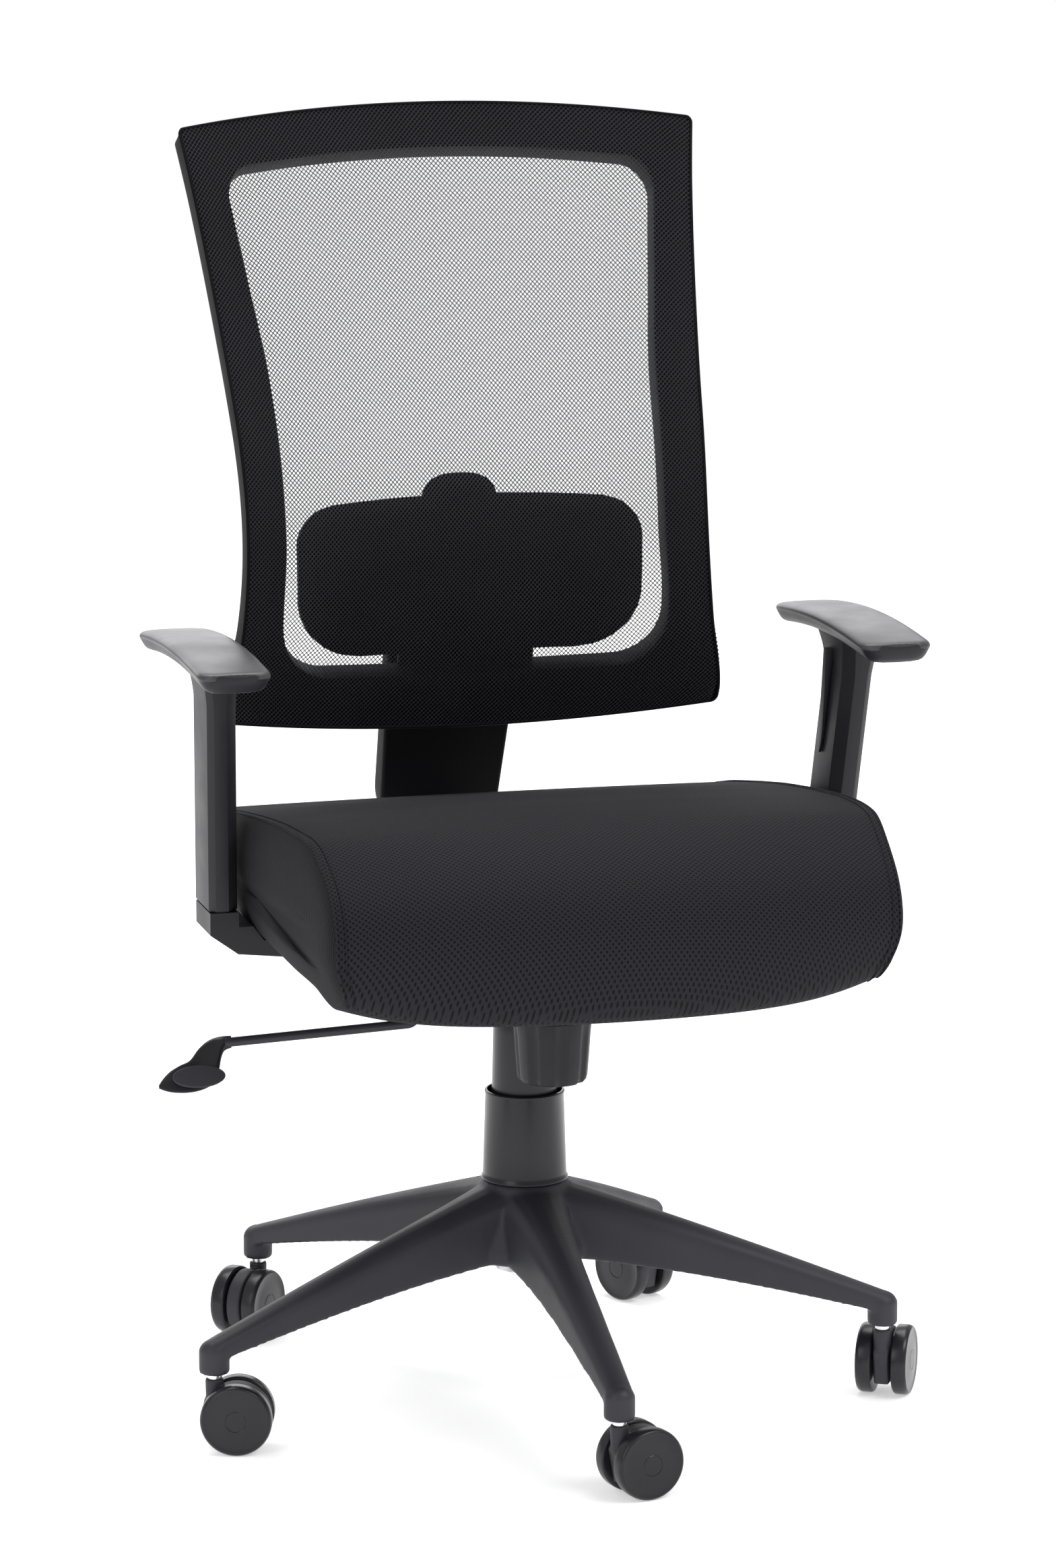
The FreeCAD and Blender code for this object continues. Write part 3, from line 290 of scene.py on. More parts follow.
def brushed(name, color, roughness):
    """Drawn or turned metal with fine streaks."""
    material = new_material(name, color, roughness, 1.0)
    shader = material.node_tree.nodes["Principled BSDF"]
    coordinates = material.node_tree.nodes.new("ShaderNodeTexCoord")
    stretch = material.node_tree.nodes.new("ShaderNodeMapping")
    stretch.inputs["Scale"].default_value = (60, 60, 900)
    streaks = add_node(material, "ShaderNodeTexNoise", Scale=4.0, Detail=4.0)
    link(material, coordinates, "Object", stretch, "Vector")
    link(material, stretch, "Vector", streaks, "Vector")
    gloss = ramp(material, streaks, "Fac", 0.2, 0.8, roughness - 0.08, roughness + 0.12)
    link(material, gloss, "Color", shader, "Roughness")
    bump = add_node(material, "ShaderNodeBump", Strength=0.15, Distance=0.05 * MM)
    link(material, streaks, "Fac", bump, "Height")
    link(material, bump, "Normal", shader, "Normal")
    return material


def woven(name, color, light, pitch_x, pitch_y):
    """Spacer fabric: rows of small oval holes, every other row shifted by half a pitch."""
    material = new_material(name, color, 0.85, Specular_IOR_Level=0.12)
    tree = material.node_tree
    shader = tree.nodes["Principled BSDF"]
    coordinates = tree.nodes.new("ShaderNodeTexCoord")
    split = tree.nodes.new("ShaderNodeSeparateXYZ")
    link(material, coordinates, "Object", split, "Vector")

    def calculate(operation, first, second=0.0):
        node = tree.nodes.new("ShaderNodeMath")
        node.operation = operation
        for socket, source in zip(node.inputs, (first, second)):
            if isinstance(source, float):
                socket.default_value = source
            else:
                tree.links.new(source, socket)
        return node.outputs[0]

    along = calculate("ADD", split.outputs["Y"], split.outputs["Z"])
    wave_x = calculate("SINE", calculate("MULTIPLY", split.outputs["X"], 2 * math.pi / (pitch_x * MM)))
    wave_y = calculate("SINE", calculate("MULTIPLY", along, 2 * math.pi / (pitch_y * MM)))
    holes = tree.nodes.new("ShaderNodeMapRange")
    holes.inputs["From Min"].default_value = -1
    tree.links.new(calculate("MULTIPLY", wave_x, wave_y), holes.inputs["Value"])
    pattern = ramp(material, holes, "Result", 0.55, 0.85, 1.0, 0.0)
    tint = tree.nodes.new("ShaderNodeMix")
    tint.data_type = "RGBA"
    tint.inputs["A"].default_value = (*color, 1)
    tint.inputs["B"].default_value = (*light, 1)
    tree.links.new(pattern.outputs["Color"], tint.inputs["Factor"])
    tree.links.new(tint.outputs["Result"], shader.inputs["Base Color"])
    fuzz = add_node(material, "ShaderNodeTexNoise", Scale=1500.0, Detail=2.0)
    link(material, coordinates, "Object", fuzz, "Vector")
    relief = calculate("ADD", pattern.outputs["Color"], calculate("MULTIPLY", fuzz.outputs["Fac"], 0.35))
    bump = add_node(material, "ShaderNodeBump", Strength=0.6, Distance=0.5 * MM)
    tree.links.new(relief, bump.inputs["Height"])
    link(material, bump, "Normal", shader, "Normal")
    return material


def ribbed(name, color, pitch):
    """Side cloth with fine upright ribs, with painted shade in the grooves between them."""
    material = new_material(name, color, 0.8, Specular_IOR_Level=0.12)
    coordinates = material.node_tree.nodes.new("ShaderNodeTexCoord")
    ribs_per_scale = 20 / (2 * math.pi)
    scale = 1 / (pitch * MM) / ribs_per_scale
    ribs = add_node(material, "ShaderNodeTexWave", Scale=scale, Distortion=0.4, Detail=1.0)
    ribs.bands_direction = "Y"
    link(material, coordinates, "Object", ribs, "Vector")
    bump = add_node(material, "ShaderNodeBump", Strength=0.7, Distance=0.5 * MM)
    link(material, ribs, "Fac", bump, "Height")
    shader = material.node_tree.nodes["Principled BSDF"]
    link(material, bump, "Normal", shader, "Normal")
    # The grooves are painted darker than the ridges: painted shade that follows the same waves as the bump.
    painted_groove_shade = tuple(c * 0.55 for c in color)
    tint = ramp(material, ribs, "Fac", 0.15, 0.8, painted_groove_shade, color)
    link(material, tint, "Color", shader, "Base Color")
    return material


MATERIALS = {
    "nylon": textured("moulded_nylon", (0.026, 0.026, 0.033), 0.50, 1800, 0.12, Specular_IOR_Level=0.3),
    "smooth_black": textured("smooth_black", (0.009, 0.009, 0.012), 0.30, 400, 0.03, 0.05,
                             Specular_IOR_Level=0.35),
    "wheel": textured("wheel_black", (0.010, 0.010, 0.014), 0.28, 900, 0.03, 0.05, Specular_IOR_Level=0.35),
    "steel": brushed("bright_steel", (0.55, 0.55, 0.56), 0.30),
    "black_steel": textured("powder_coat", (0.022, 0.022, 0.027), 0.45, 2600, 0.06, Specular_IOR_Level=0.35),
    "bright_stem": brushed("plated_stem", (0.80, 0.80, 0.82), 0.16),
    "seat_fabric": woven("spacer_fabric", (0.0030, 0.0030, 0.0038), (0.017, 0.017, 0.021), 4.9, 6.0),
    "side_fabric": ribbed("side_fabric", (0.015, 0.015, 0.018), 2.6),
    "back_net": textured("net_thread", (0.032, 0.032, 0.041), 0.65, 3000, 0.05, Specular_IOR_Level=0.25),
    # pad_skin is a lighter grey than the pads' own dark skin: a painted sheen for the highlight on their tops.
    "pad_skin": textured("pad_skin", (0.032, 0.032, 0.038), 0.40, 1300, 0.12),
    "frame_plastic": textured("frame_plastic", (0.0035, 0.0035, 0.0045), 0.60, 1700, 0.09, IOR=1.14),
    "arm_plastic": textured("arm_plastic", (0.014, 0.014, 0.018), 0.46, 1700, 0.09, Specular_IOR_Level=0.25),
    "board": textured("board_plastic", (0.016, 0.016, 0.018), 0.60, 900, 0.12),
}
# Every framed piece takes the finish of its slot, except that the arm brackets are the arms' greyer plastic.
for row in frame["record"]["subparts"]:
    node = frame["nodes"][row["node"]]
    node.data.materials.clear()
    node.data.materials.append(MATERIALS[row["material_slot"]])
    shade(node, 30)
for name in ("arm_bracket_left", "arm_bracket_right"):
    frame["nodes"][name].data.materials[0] = MATERIALS["arm_plastic"]


def finished(obj, body, slot, *replaced):
    """Tie a finished piece to its body and hide the framed parts it replaces. slot is not used."""
    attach(obj, body)
    if replaced:
        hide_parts(*replaced)
    return obj


# ---------------------------------------------------------------- base and casters

STEM_CIRCLE = 305
STEM_ANGLES = [-90 + 72 * i for i in range(5)]
TRAIL_ANGLES = [13.6, 61, 117.3, -131.5, -16.7]
WHEEL_RADIUS = 30
TRAIL = 19
TUBE_BORE = 25.2


def star_base():
    """Five tapering arms that arch out of a round hub, with a domed socket at each end."""
    nylon = MATERIALS["nylon"]
    hub_profile = [(TUBE_BORE, 125), (55, 125), (59, 128), (59, 137), (52, 157), (41, 180), (36, 190),
                   (TUBE_BORE, 190)]
    socket_radius, cap_centre, cap_rise = 12.8, 84, 11
    socket_profile = [(12.0, 66.0), (socket_radius, 67.0), (socket_radius, 86.0)]
    for degrees in (15, 35, 55, 75):
        a = math.radians(degrees)
        socket_profile.append((socket_radius * math.cos(a), cap_centre + cap_rise * math.sin(a)))
    inner_end, stations = 27, 22
    pieces = [mesh_piece("hub", *lathe(hub_profile), nylon)]
    for angle in STEM_ANGLES:
        rings = []
        for i in range(stations + 1):
            t = i / stations
            along = mix(inner_end, STEM_CIRCLE, t)
            arch = math.sin(math.pi * t)
            low = mix(129, 78.5, t) + 3.5 * arch
            crest = mix(190, 95.5, t) + 2 * arch
            shoulder = mix(low, crest, 0.70 - 0.12 * t)
            half = mix(23, 12.2, t) + 11 * (1 - t) ** 6
            ring = [(half * 0.96, low), (half, low + 2.5), (half * 0.93, shoulder)]
            for j in range(1, 8):
                turn = math.pi * j / 8
                ring.append((half * 0.93 * math.cos(turn), shoulder + (crest - shoulder) * math.sin(turn)))
            ring += [(-half * 0.93, shoulder), (-half, low + 2.5), (-half * 0.96, low)]
            rings.append([(along, x, z) for x, z in ring])
        arm = mesh_piece("arm", *loft(rings), nylon)
        socket = mesh_piece("socket", *stack(socket_profile, STEM_CIRCLE), nylon)
        turn = Matrix.Rotation(math.radians(angle), 4, "Z")
        pieces += [place(arm, turn), place(socket, turn)]
    return finished(fuse("base_star", pieces, 2.0, 3), "base", "nylon", "star_base")


def column_covers():
    """Two telescoping covers round the column, each a thin shell with a turned rim."""
    lower = mesh_piece("column_cover_lower_shell", *lathe([
        (TUBE_BORE, 190.3), (36.2, 190.3), (36.9, 191.0), (36.9, 192.4), (36.0, 193.6), (35.6, 196),
        (33.4, 264), (33.9, 265), (33.9, 266.6), (33.2, 267.4), (31.9, 267.4), (31.6, 264), (33.8, 196),
        (33, 194), (TUBE_BORE, 193.4)]), MATERIALS["smooth_black"])
    finished(lower, "base", "smooth_black", "column_cover_lower")
    upper = mesh_piece("column_cover_upper_shell", *lathe([
        (26.9, 240), (28.3, 240), (28.5, 242), (26.8, 318), (26.2, 329), (25.0, 332.6), (14.3, 332.8),
        (14.3, 330.8), (24, 330.4), (25.3, 318)]), MATERIALS["smooth_black"])
    finished(upper, "chassis", "smooth_black", "column_cover_upper")


def wheel_shape(side):
    """One of a caster's two wheels: smooth tread, chamfer, shallow dish and a hub cap."""
    profile = [
        (3.1, 8.6), (27.2, 8.6), (28.8, 9.0), (29.8, 10.0), (30.0, 11.2), (30.0, 18.0), (29.7, 19.6),
        (28.9, 21.2), (28.3, 21.8), (27.6, 22.1), (26.2, 22.0), (25.4, 21.7), (18, 22.1), (9.2, 22.4),
        (8.6, 22.1), (8.2, 22.4), (5, 22.5), (0.01, 22.5), (0.01, 19.2), (3.1, 19.2)]
    return loft([[(r * c, side * w, r * s) for r, w in profile] for c, s in circle(72)], closed=True)


def caster_body():
    """Round web between the wheels that runs into a neck on the stem."""
    nylon = MATERIALS["nylon"]
    web_radius, first_turn, sweep, lowest = 28.4, -138, 296, 12.5
    outline = []
    for i in range(40):
        turn = math.radians(first_turn + sweep * i / 39)
        z = max(WHEEL_RADIUS + web_radius * math.sin(turn), lowest)
        outline.append((TRAIL + web_radius * math.cos(turn), z))
    rings = []
    for y, share in ((-7.0, 0.9), (-6.2, 0.975), (-5.2, 1.0), (5.2, 1.0), (6.2, 0.975), (7.0, 0.9)):
        rings.append([(TRAIL + (x - TRAIL) * share, y, WHEEL_RADIUS + (z - WHEEL_RADIUS) * share)
                      for x, z in outline])
    web = mesh_piece("web", *loft(rings), nylon)
    neck = mesh_piece("neck", *stack(((6.6, 32), (7.2, 40), (7.6, 60), (7.0, 61.6))), nylon)
    return fuse("caster_body", [web, neck], 0.9, 3)


def copied(model, name):
    """A linked copy with a mesh of its own."""
    obj = model.copy()
    obj.data = model.data.copy()
    obj.name = name
    bpy.context.scene.collection.objects.link(obj)
    return obj


def casters():
    """Five casters, each turned to its own trail angle about its stem."""
    body = caster_body()
    wheels = {name: mesh_piece("wheel_" + name, *wheel_shape(side), MATERIALS["wheel"], 25)
              for name, side in SIDES}
    for number, (stem, trail) in enumerate(zip(STEM_ANGLES, TRAIL_ANGLES), start=1):
        turn = math.radians(stem)
        spot = Matrix.Translation((STEM_CIRCLE * math.cos(turn), STEM_CIRCLE * math.sin(turn), 0))
        spot = spot @ Matrix.Rotation(math.radians(trail), 4, "Z")
        hub = spot @ Matrix.Translation((TRAIL, 0, WHEEL_RADIUS))
        shell = place(copied(body, f"caster_shell_{number}"), spot)
        finished(shell, f"caster_{number}", "nylon", f"caster_housing_{number}")
        for name, model in wheels.items():
            wheel = place(copied(model, f"wheel_shell_{number}_{name}"), hub)
            finished(wheel, f"wheel_{number}_{name}", "wheel", f"caster_wheel_{number}_{name}")
    for model in (body, *wheels.values()):
        bpy.data.objects.remove(model)


# ---------------------------------------------------------------- under the seat

def tension_knob():
    """Tapering knob with eight shallow finger scallops and a rounded lower edge."""
    centre_y, scallop_depth, grip_top, grip_radius = -92, 2.6, 349, 24
    profile = [(5.2, 351.4), (31.6, 351.4), (32.6, 350.6), (32.8, 348), (31.8, 336), (30.6, 318), (29.4, 303),
               (28.6, 299.6), (26.6, 297.2), (23, 296.2), (20, 296.6), (18.6, 298), (5.2, 298)]
    steps, scallops = 128, 8
    rings = []
    for i, (c, s) in enumerate(circle(steps)):
        scallop = scallop_depth * max(0.0, math.cos(scallops * 2 * math.pi * i / steps)) ** 1.5
        ring = []
        for r, z in profile:
            if r > grip_radius and z < grip_top:
                r -= scallop
            ring.append((r * c, centre_y + r * s, z))
        rings.append(ring)
    knob = mesh_piece("tension_knob_grip", *loft(rings, closed=True), MATERIALS["arm_plastic"])
    return finished(knob, "knob", "frame_plastic", "tension_knob")


def lever_paddle():
    """Cupped paddle: a neck that swings down from the rod into a wide lobe with a flat matt face."""
    upper_edge = [(0, 9.4), (0.16, 9.0), (0.3, 6.0), (0.43, -0.5), (0.56, -10), (0.7, -14), (0.84, -19),
                  (0.94, -25), (1, -30)]
    lower_edge = [(0, -1.2), (0.1, -4), (0.16, -12), (0.20, -22), (0.27, -30), (0.38, -35), (0.58, -38),
                  (0.8, -37.5), (0.92, -35.5), (1, -33)]
    thickness = [(0, 5.0), (0.2, 4.4), (0.6, 2.8), (1, 1.4)]
    rod_end, lean_back = (-272.0, -22, 325), math.radians(-32)
    start, length = 14.0, 65.0
    rings = []
    for i in range(41):
        t = i / 40
        upper, lower = blend_values(upper_edge, t), blend_values(lower_edge, t)
        mid, half = (upper + lower) / 2, (upper - lower) / 2
        thick = blend_values(thickness, t)
        cup = 2.4 * math.sin(math.pi * min(t * 1.05, 1)) ** 2
        x = start - length * t
        rings.append([(x, thick * s + cup * (1 - c ** 2), mid + half * c) for c, s in circle(32)])
    leaf = mesh_piece("lever_paddle_leaf", *loft(rings), MATERIALS["smooth_black"])
    lean = Matrix.Translation(rod_end) @ Matrix.Rotation(lean_back, 4, "X")
    finished(place(leaf, lean), "lever", "smooth_black", "lever_paddle")
    face_x, face_z = -17, -25.5
    lobe = []
    for half_x, half_z, y in ((22, 9.2, 0), (22.6, 9.8, -3.0), (21.6, 9.0, -4.1), (14, 6, -4.4),
                              (1, 0.6, -4.5)):
        lobe.append([(face_x + half_x * c, y, face_z + half_z * s) for c, s in circle(48)])
    face = mesh_piece("lever_paddle_face", *loft(lobe), MATERIALS["nylon"])
    return finished(place(face, lean), "lever", "smooth_black")


# ---------------------------------------------------------------- arms

ARM_X, ARM_Y, ARM_Z = 266, -8, 484
SPLAY, RAKE = 0.0432, -0.2055
SLEEVE_FOOT, SLEEVE_HALF_X, SLEEVE_HALF_Y = 441, 12.5, 31


def sleeve_centre(z, side):
    """Where the leaning sleeve's centre line passes height z."""
    return side * (ARM_X + SPLAY * (z - ARM_Z)), ARM_Y + RAKE * (z - ARM_Z)


def sleeve_ring(z, side, half_x, half_y, radii, shift_y=0.0):
    """Level section of the sleeve with chamfered corners."""
    cx, cy = sleeve_centre(z, side)
    return [(cx + side * x, cy + y + shift_y, z) for x, y in rounded_ring(half_x, half_y, radii, 1)]


def arm_sleeve(name, side):
    """Hollow leaning sleeve with chamfered corners that flares rearward under the pad."""
    wall, flare_start = 2.2, 622
    outer_corners, inner_corners = [4, 4, 9, 5], [2, 2, 6, 3]
    rings = []
    for z in (SLEEVE_FOOT, 442.5, 480, 540, 590, flare_start):
        inset = 1.0 if z == SLEEVE_FOOT else 0.0
        rings.append(sleeve_ring(z, side, SLEEVE_HALF_X - inset, SLEEVE_HALF_Y - inset, outer_corners))
    for i in range(1, 9):
        t = i / 8
        rearward = 13 * (1 - math.cos(t * math.pi / 2)) ** 1.3
        half_x, half_y = SLEEVE_HALF_X + 3 * t, SLEEVE_HALF_Y + rearward
        rings.append(sleeve_ring(flare_start + 32 * t, side, half_x, half_y, outer_corners, rearward))
    for z in (646, SLEEVE_FOOT):
        rings.append(sleeve_ring(z, side, SLEEVE_HALF_X - wall, SLEEVE_HALF_Y - wall, inner_corners))
    points, faces = loft(rings, closed=True)
    sleeve = mesh_piece("arm_sleeve_shell_" + name, points, faces, MATERIALS["arm_plastic"])
    soften(sleeve, 0.8, 2, 28)
    return finished(sleeve, "arm_" + name, "frame_plastic", "arm_sleeve_" + name)


def arm_pad(name, side):
    """Arched pad: a soft cap with a fine lip over a narrower, tapering underside, with a painted sheen on the
    cap and painted shade on the ends.
    """
    front, rear, centre_x, cap = -158, 110, 278.5, 6.0
    plan_radius, edge_radius, stations = 16, 7, 40
    rings = []
    for i in range(stations + 1):
        t = i / stations
        y = mix(front, rear, t)
        crest = 664 + 7 * math.sin(0.8 * math.pi * t) - 12 * t ** 2
        end = min(t, 1 - t) * (rear - front)
        plan = math.sqrt(max(1 - (max(plan_radius - end, 0) / plan_radius) ** 2, 0.02))
        half = 30.5 * (0.62 + 0.38 * plan)
        edge = math.sqrt(max(1 - (max(edge_radius - end, 0) / edge_radius) ** 2, 0.01))
        depth = 17.5 * (0.55 + 0.45 * edge)
        section = [
            (-0.55, -depth), (-0.78, -depth + 2.0), (-0.90, -depth + 7), (-0.955, -cap - 0.8),
            (-0.985, -cap + 0.2), (-1.0, -cap + 1.6), (-0.99, -2.6), (-0.94, -0.9), (-0.84, 0.1), (-0.6, 0.6),
            (-0.3, 0.8)]
        section += [(0.0, 0.85)] + [(-x, z) for x, z in reversed(section)]
        rings.append([(side * centre_x + x * half, y, crest + z * (0.75 + 0.25 * edge)) for x, z in section])
    if side > 0:
        rings = [list(reversed(ring)) for ring in rings]
    pad = mesh_piece("arm_pad_skin_" + name, *loft(rings), MATERIALS["pad_skin"])
    pad.data.materials.append(MATERIALS["arm_plastic"])
    # The cap down to its lip takes the lighter pad_skin, a painted sheen on the top. Below the lip, the
    # underside is the arm plastic. The flat front and rear ends also take that darker plastic, as painted
    # shade.
    count, crest_point, first_lip_point = len(rings[0]), 11, 7
    for polygon in pad.data.polygons:
        is_shaded_end = len(polygon.vertices) > 4
        if is_shaded_end or all(abs(k % count - crest_point) >= first_lip_point for k in polygon.vertices):
            polygon.material_index = 1
    subdivide(pad)
    return finished(pad, "arm_" + name, "pad_skin", "arm_pad_" + name)


def arm_lever(name, side):
    """Long paddle on the sleeve's inner face, proud at its upper end."""
    foot, height, gap, rearward = 548, 92, 0.4, 8.5
    rings = []
    for i in range(15):
        t = i / 14
        z = foot + height * t
        thick = 2.2 + 4.6 * t ** 1.3
        half = 6.0 * math.sqrt(max(1 - (1 - min(t * 5, 1)) ** 2, 0.12)) - 0.8 * t
        cx, cy = sleeve_centre(z, side)
        middle = cx - side * (SLEEVE_HALF_X + gap + thick / 2)
        section = rounded_ring(thick / 2, half, 1.0, 4)
        rings.append([(middle - side * x, cy + rearward + y, z) for x, y in section])
    lever = mesh_piece("arm_lever_blade_" + name, *loft(rings), MATERIALS["arm_plastic"])
    return finished(lever, "release_" + name, "frame_plastic", "arm_lever_" + name)


# ---------------------------------------------------------------- back

# In side view the back's face is an arc of radius CURVE up to BEND_TOP and leans straight back above it. In
# plan it is an arc about an upright axis far in front of it.
CURVE, CURVE_Y, CURVE_Z = 303, 475, 683
HIGH_ANGLE = math.radians(26.9)
BEND_TOP = CURVE_Z + CURVE * math.sin(HIGH_ANGLE)
PLAN_AXIS = -800


def back_point(x, z, lift=0.0):
    """Point of the back face at sideways x and height z, moved lift towards the sitter."""
    angle = math.asin((min(z, BEND_TOP) - CURVE_Z) / CURVE)
    y = CURVE_Y - CURVE * math.cos(angle) + max(z - BEND_TOP, 0) * math.tan(HIGH_ANGLE)
    y -= lift * math.cos(angle)
    z += lift * math.sin(angle)
    radius = y - PLAN_AXIS
    return x, PLAN_AXIS + math.sqrt(radius ** 2 - x ** 2), z


def bow(x, end, sag):
    """Height above the ends of a shallow arc of half-length end."""
    return sag * (1 - (x / end) ** 2)


def half_width(z):
    """Half the back's width at a height: a waist between a flared foot and a wide top."""
    sides = [(543, 214), (575, 218), (640, 207.5), (715, 202.5), (800, 204), (900, 211), (1000, 221),
             (1072, 231)]
    return blend_values(sides, z)


def top_edge(x):
    return 1057 + bow(x, 225, 14.6)


def bottom_edge(x):
    return 560 - bow(x, 211, 17)


def outline_loop(half, low, high, low_corner, high_corner):
    """Closed outline in the front view as (x, z): half(z) gives the sides, low(x) and high(x) the ends."""
    bottom, top = low(half(low(0))), high(half(high(0)))
    low_half, high_half = half(bottom + low_corner), half(top - high_corner)
    end_steps, side_steps = 30, 90
    corner_turns = [math.radians(9 * i) for i in range(1, 10)]
    right = []
    for i in range(end_steps + 1):
        x = (low_half - low_corner) * i / end_steps
        right.append((x, low(x)))
    start = low(low_half - low_corner)
    rise = bottom + low_corner - start
    for a in corner_turns:
        right.append((low_half - low_corner * (1 - math.sin(a)), start + rise * (1 - math.cos(a))))
    for i in range(side_steps + 1):
        z = bottom + low_corner + (top - bottom - low_corner - high_corner) * i / side_steps
        right.append((half(z), z))
    finish = high(high_half - high_corner)
    fall = finish - top + high_corner
    for a in corner_turns:
        right.append((high_half - high_corner * (1 - math.cos(a)), finish - fall * (1 - math.sin(a))))
    for i in range(end_steps + 1):
        x = (high_half - high_corner) * (1 - i / end_steps)
        right.append((x, high(x)))
    return right + [(-x, z) for x, z in reversed(right[1:-1])]


def outer_outline():
    """The back's outer edge, with tight corners."""
    return outline_loop(half_width, bottom_edge, top_edge, 6, 4)


def opening_outline():
    """The frame's window, with wide round corners below."""
    sides = [(600, 163), (640, 170.5), (720, 167.5), (850, 171), (930, 180.5), (1000, 189.5), (1030, 193.5)]
    return outline_loop(lambda z: blend_values(sides, z), lambda x: 597 - bow(x, 165, 5),
                        lambda x: 1023 + bow(x, 190, 12), 45, 24)


def back_frame():
    """Moulded ring round the opening with a flat front and straight deep walls."""
    section = [(0.0, 1.5), (0.004, 0.4), (0.02, 0.0), (0.5, 0.0), (0.98, 0.0), (0.996, 0.4), (1.0, 1.5),
               (1.0, 24), (0.97, 27), (0.90, 28), (0.10, 28), (0.03, 27), (0.0, 24)]
    rings = []
    for (ox, oz), (ix, iz) in zip(outer_outline(), opening_outline()):
        rings.append([back_point(ox + (ix - ox) * w, oz + (iz - oz) * w, -d) for w, d in section])
    points, faces = loft(rings, closed=True)
    ring = mesh_piece("back_frame_shell", points, faces, MATERIALS["frame_plastic"], 50)
    return finished(ring, "seat", "frame_plastic", "back_frame")


def back_boss():
    """Wedge behind the frame's lower bar that the back bar and its cover bolt to."""
    side_view, half = [(214, 556), (260.2, 556), (243.1, 598), (224, 598), (220, 583), (206, 574)], 48
    rings = [[(x, y, z) for y, z in side_view] for x in (-half, half)]
    boss = mesh_piece("back_boss", *loft(rings), MATERIALS["frame_plastic"])
    return finished(soften(boss, 2.0), "seat", "frame_plastic")


def back_net():
    """Open net of crossing threads, stretched over the frame; a thread is a chain of three-sided strands."""
    pitch, radius, lift, weave, corner = 4.0, 0.46, 0.75, 0.32, 5
    columns, rows = int(440 / pitch), int(512 / pitch)

    def crossing(i, j):
        """Sideways place and height of one crossing of the threads."""
        u, v = i / columns - 1, j / (2 * rows)
        low, high = bottom_edge(0) + 1, top_edge(0) - 1
        x = u * (half_width(mix(low, high, v)) - 1)
        z = (bottom_edge(x) + 1) * (1 - v) + (top_edge(x) - 1) * v
        return x, z

    grid = {}
    for i in range(2 * columns + 1):
        for j in range(2 * rows + 1):
            if (i + j) % 2 == 0:
                x, z = crossing(i, j)
                over_x = abs(x) - (half_width(z) - corner)
                over_z = max(z - (top_edge(x) - corner), (bottom_edge(x) + corner) - z)
                if over_x <= 0 or over_z <= 0 or over_x ** 2 + over_z ** 2 <= corner ** 2:
                    grid[i, j] = (x, z)
    starts, ends = [], []
    for first_crossing in grid:
        for step in (1, -1):
            i, j = first_crossing
            if (i - 1, j - step) in grid:
                continue
            height = lift + weave * step
            while (i + 1, j + step) in grid:
                reach = max(k for k in (1, 2, 3) if (i + k, j + k * step) in grid)
                starts.append(back_point(*grid[i, j], height))
                i, j = i + reach, j + reach * step
                ends.append(back_point(*grid[i, j], height))
    starts, ends = np.array(starts), np.array(ends)
    along = ends - starts
    along /= np.linalg.norm(along, axis=1)[:, None]
    out = np.tile(np.array([0.0, -0.93, 0.3]), (len(along), 1))
    side = np.cross(along, out)
    side /= np.linalg.norm(side, axis=1)[:, None]
    up = np.cross(side, along)
    overlap = 0.15
    points = []
    for base in (starts - along * overlap, ends + along * overlap):
        for turn in (90, 210, 330):
            a = math.radians(turn)
            points.append(base + radius * (math.cos(a) * side + math.sin(a) * up))
    points = np.stack(points, axis=1).reshape(-1, 3)
    first_point = np.arange(len(starts))[:, None] * 6
    quads = np.concatenate([first_point + np.array([k, (k + 1) % 3, 3 + (k + 1) % 3, 3 + k])
                            for k in range(3)])
    mesh = bpy.data.meshes.new("back_net")
    mesh.vertices.add(len(points))
    mesh.vertices.foreach_set("co", (points * MM).ravel())
    mesh.loops.add(quads.size)
    mesh.loops.foreach_set("vertex_index", quads.ravel())
    mesh.polygons.add(len(quads))
    mesh.polygons.foreach_set("loop_start", np.arange(len(quads)) * 4)
    mesh.update(calc_edges=True)
    mesh.materials.append(MATERIALS["back_net"])
    mesh.shade_smooth()
    net = bpy.data.objects.new("back_net", mesh)
    bpy.context.scene.collection.objects.link(net)
    return finished(net, "seat", "back_net", "back_mesh")


def back_binding():
    """Rolled edge that holds the net in the frame's outer groove."""
    path = [back_point(x, z, 0.4) for x, z in outer_outline()]
    edge = mesh_piece("back_binding", *tube(path, 1.5, closed=True), MATERIALS["frame_plastic"])
    return finished(edge, "seat", "frame_plastic")


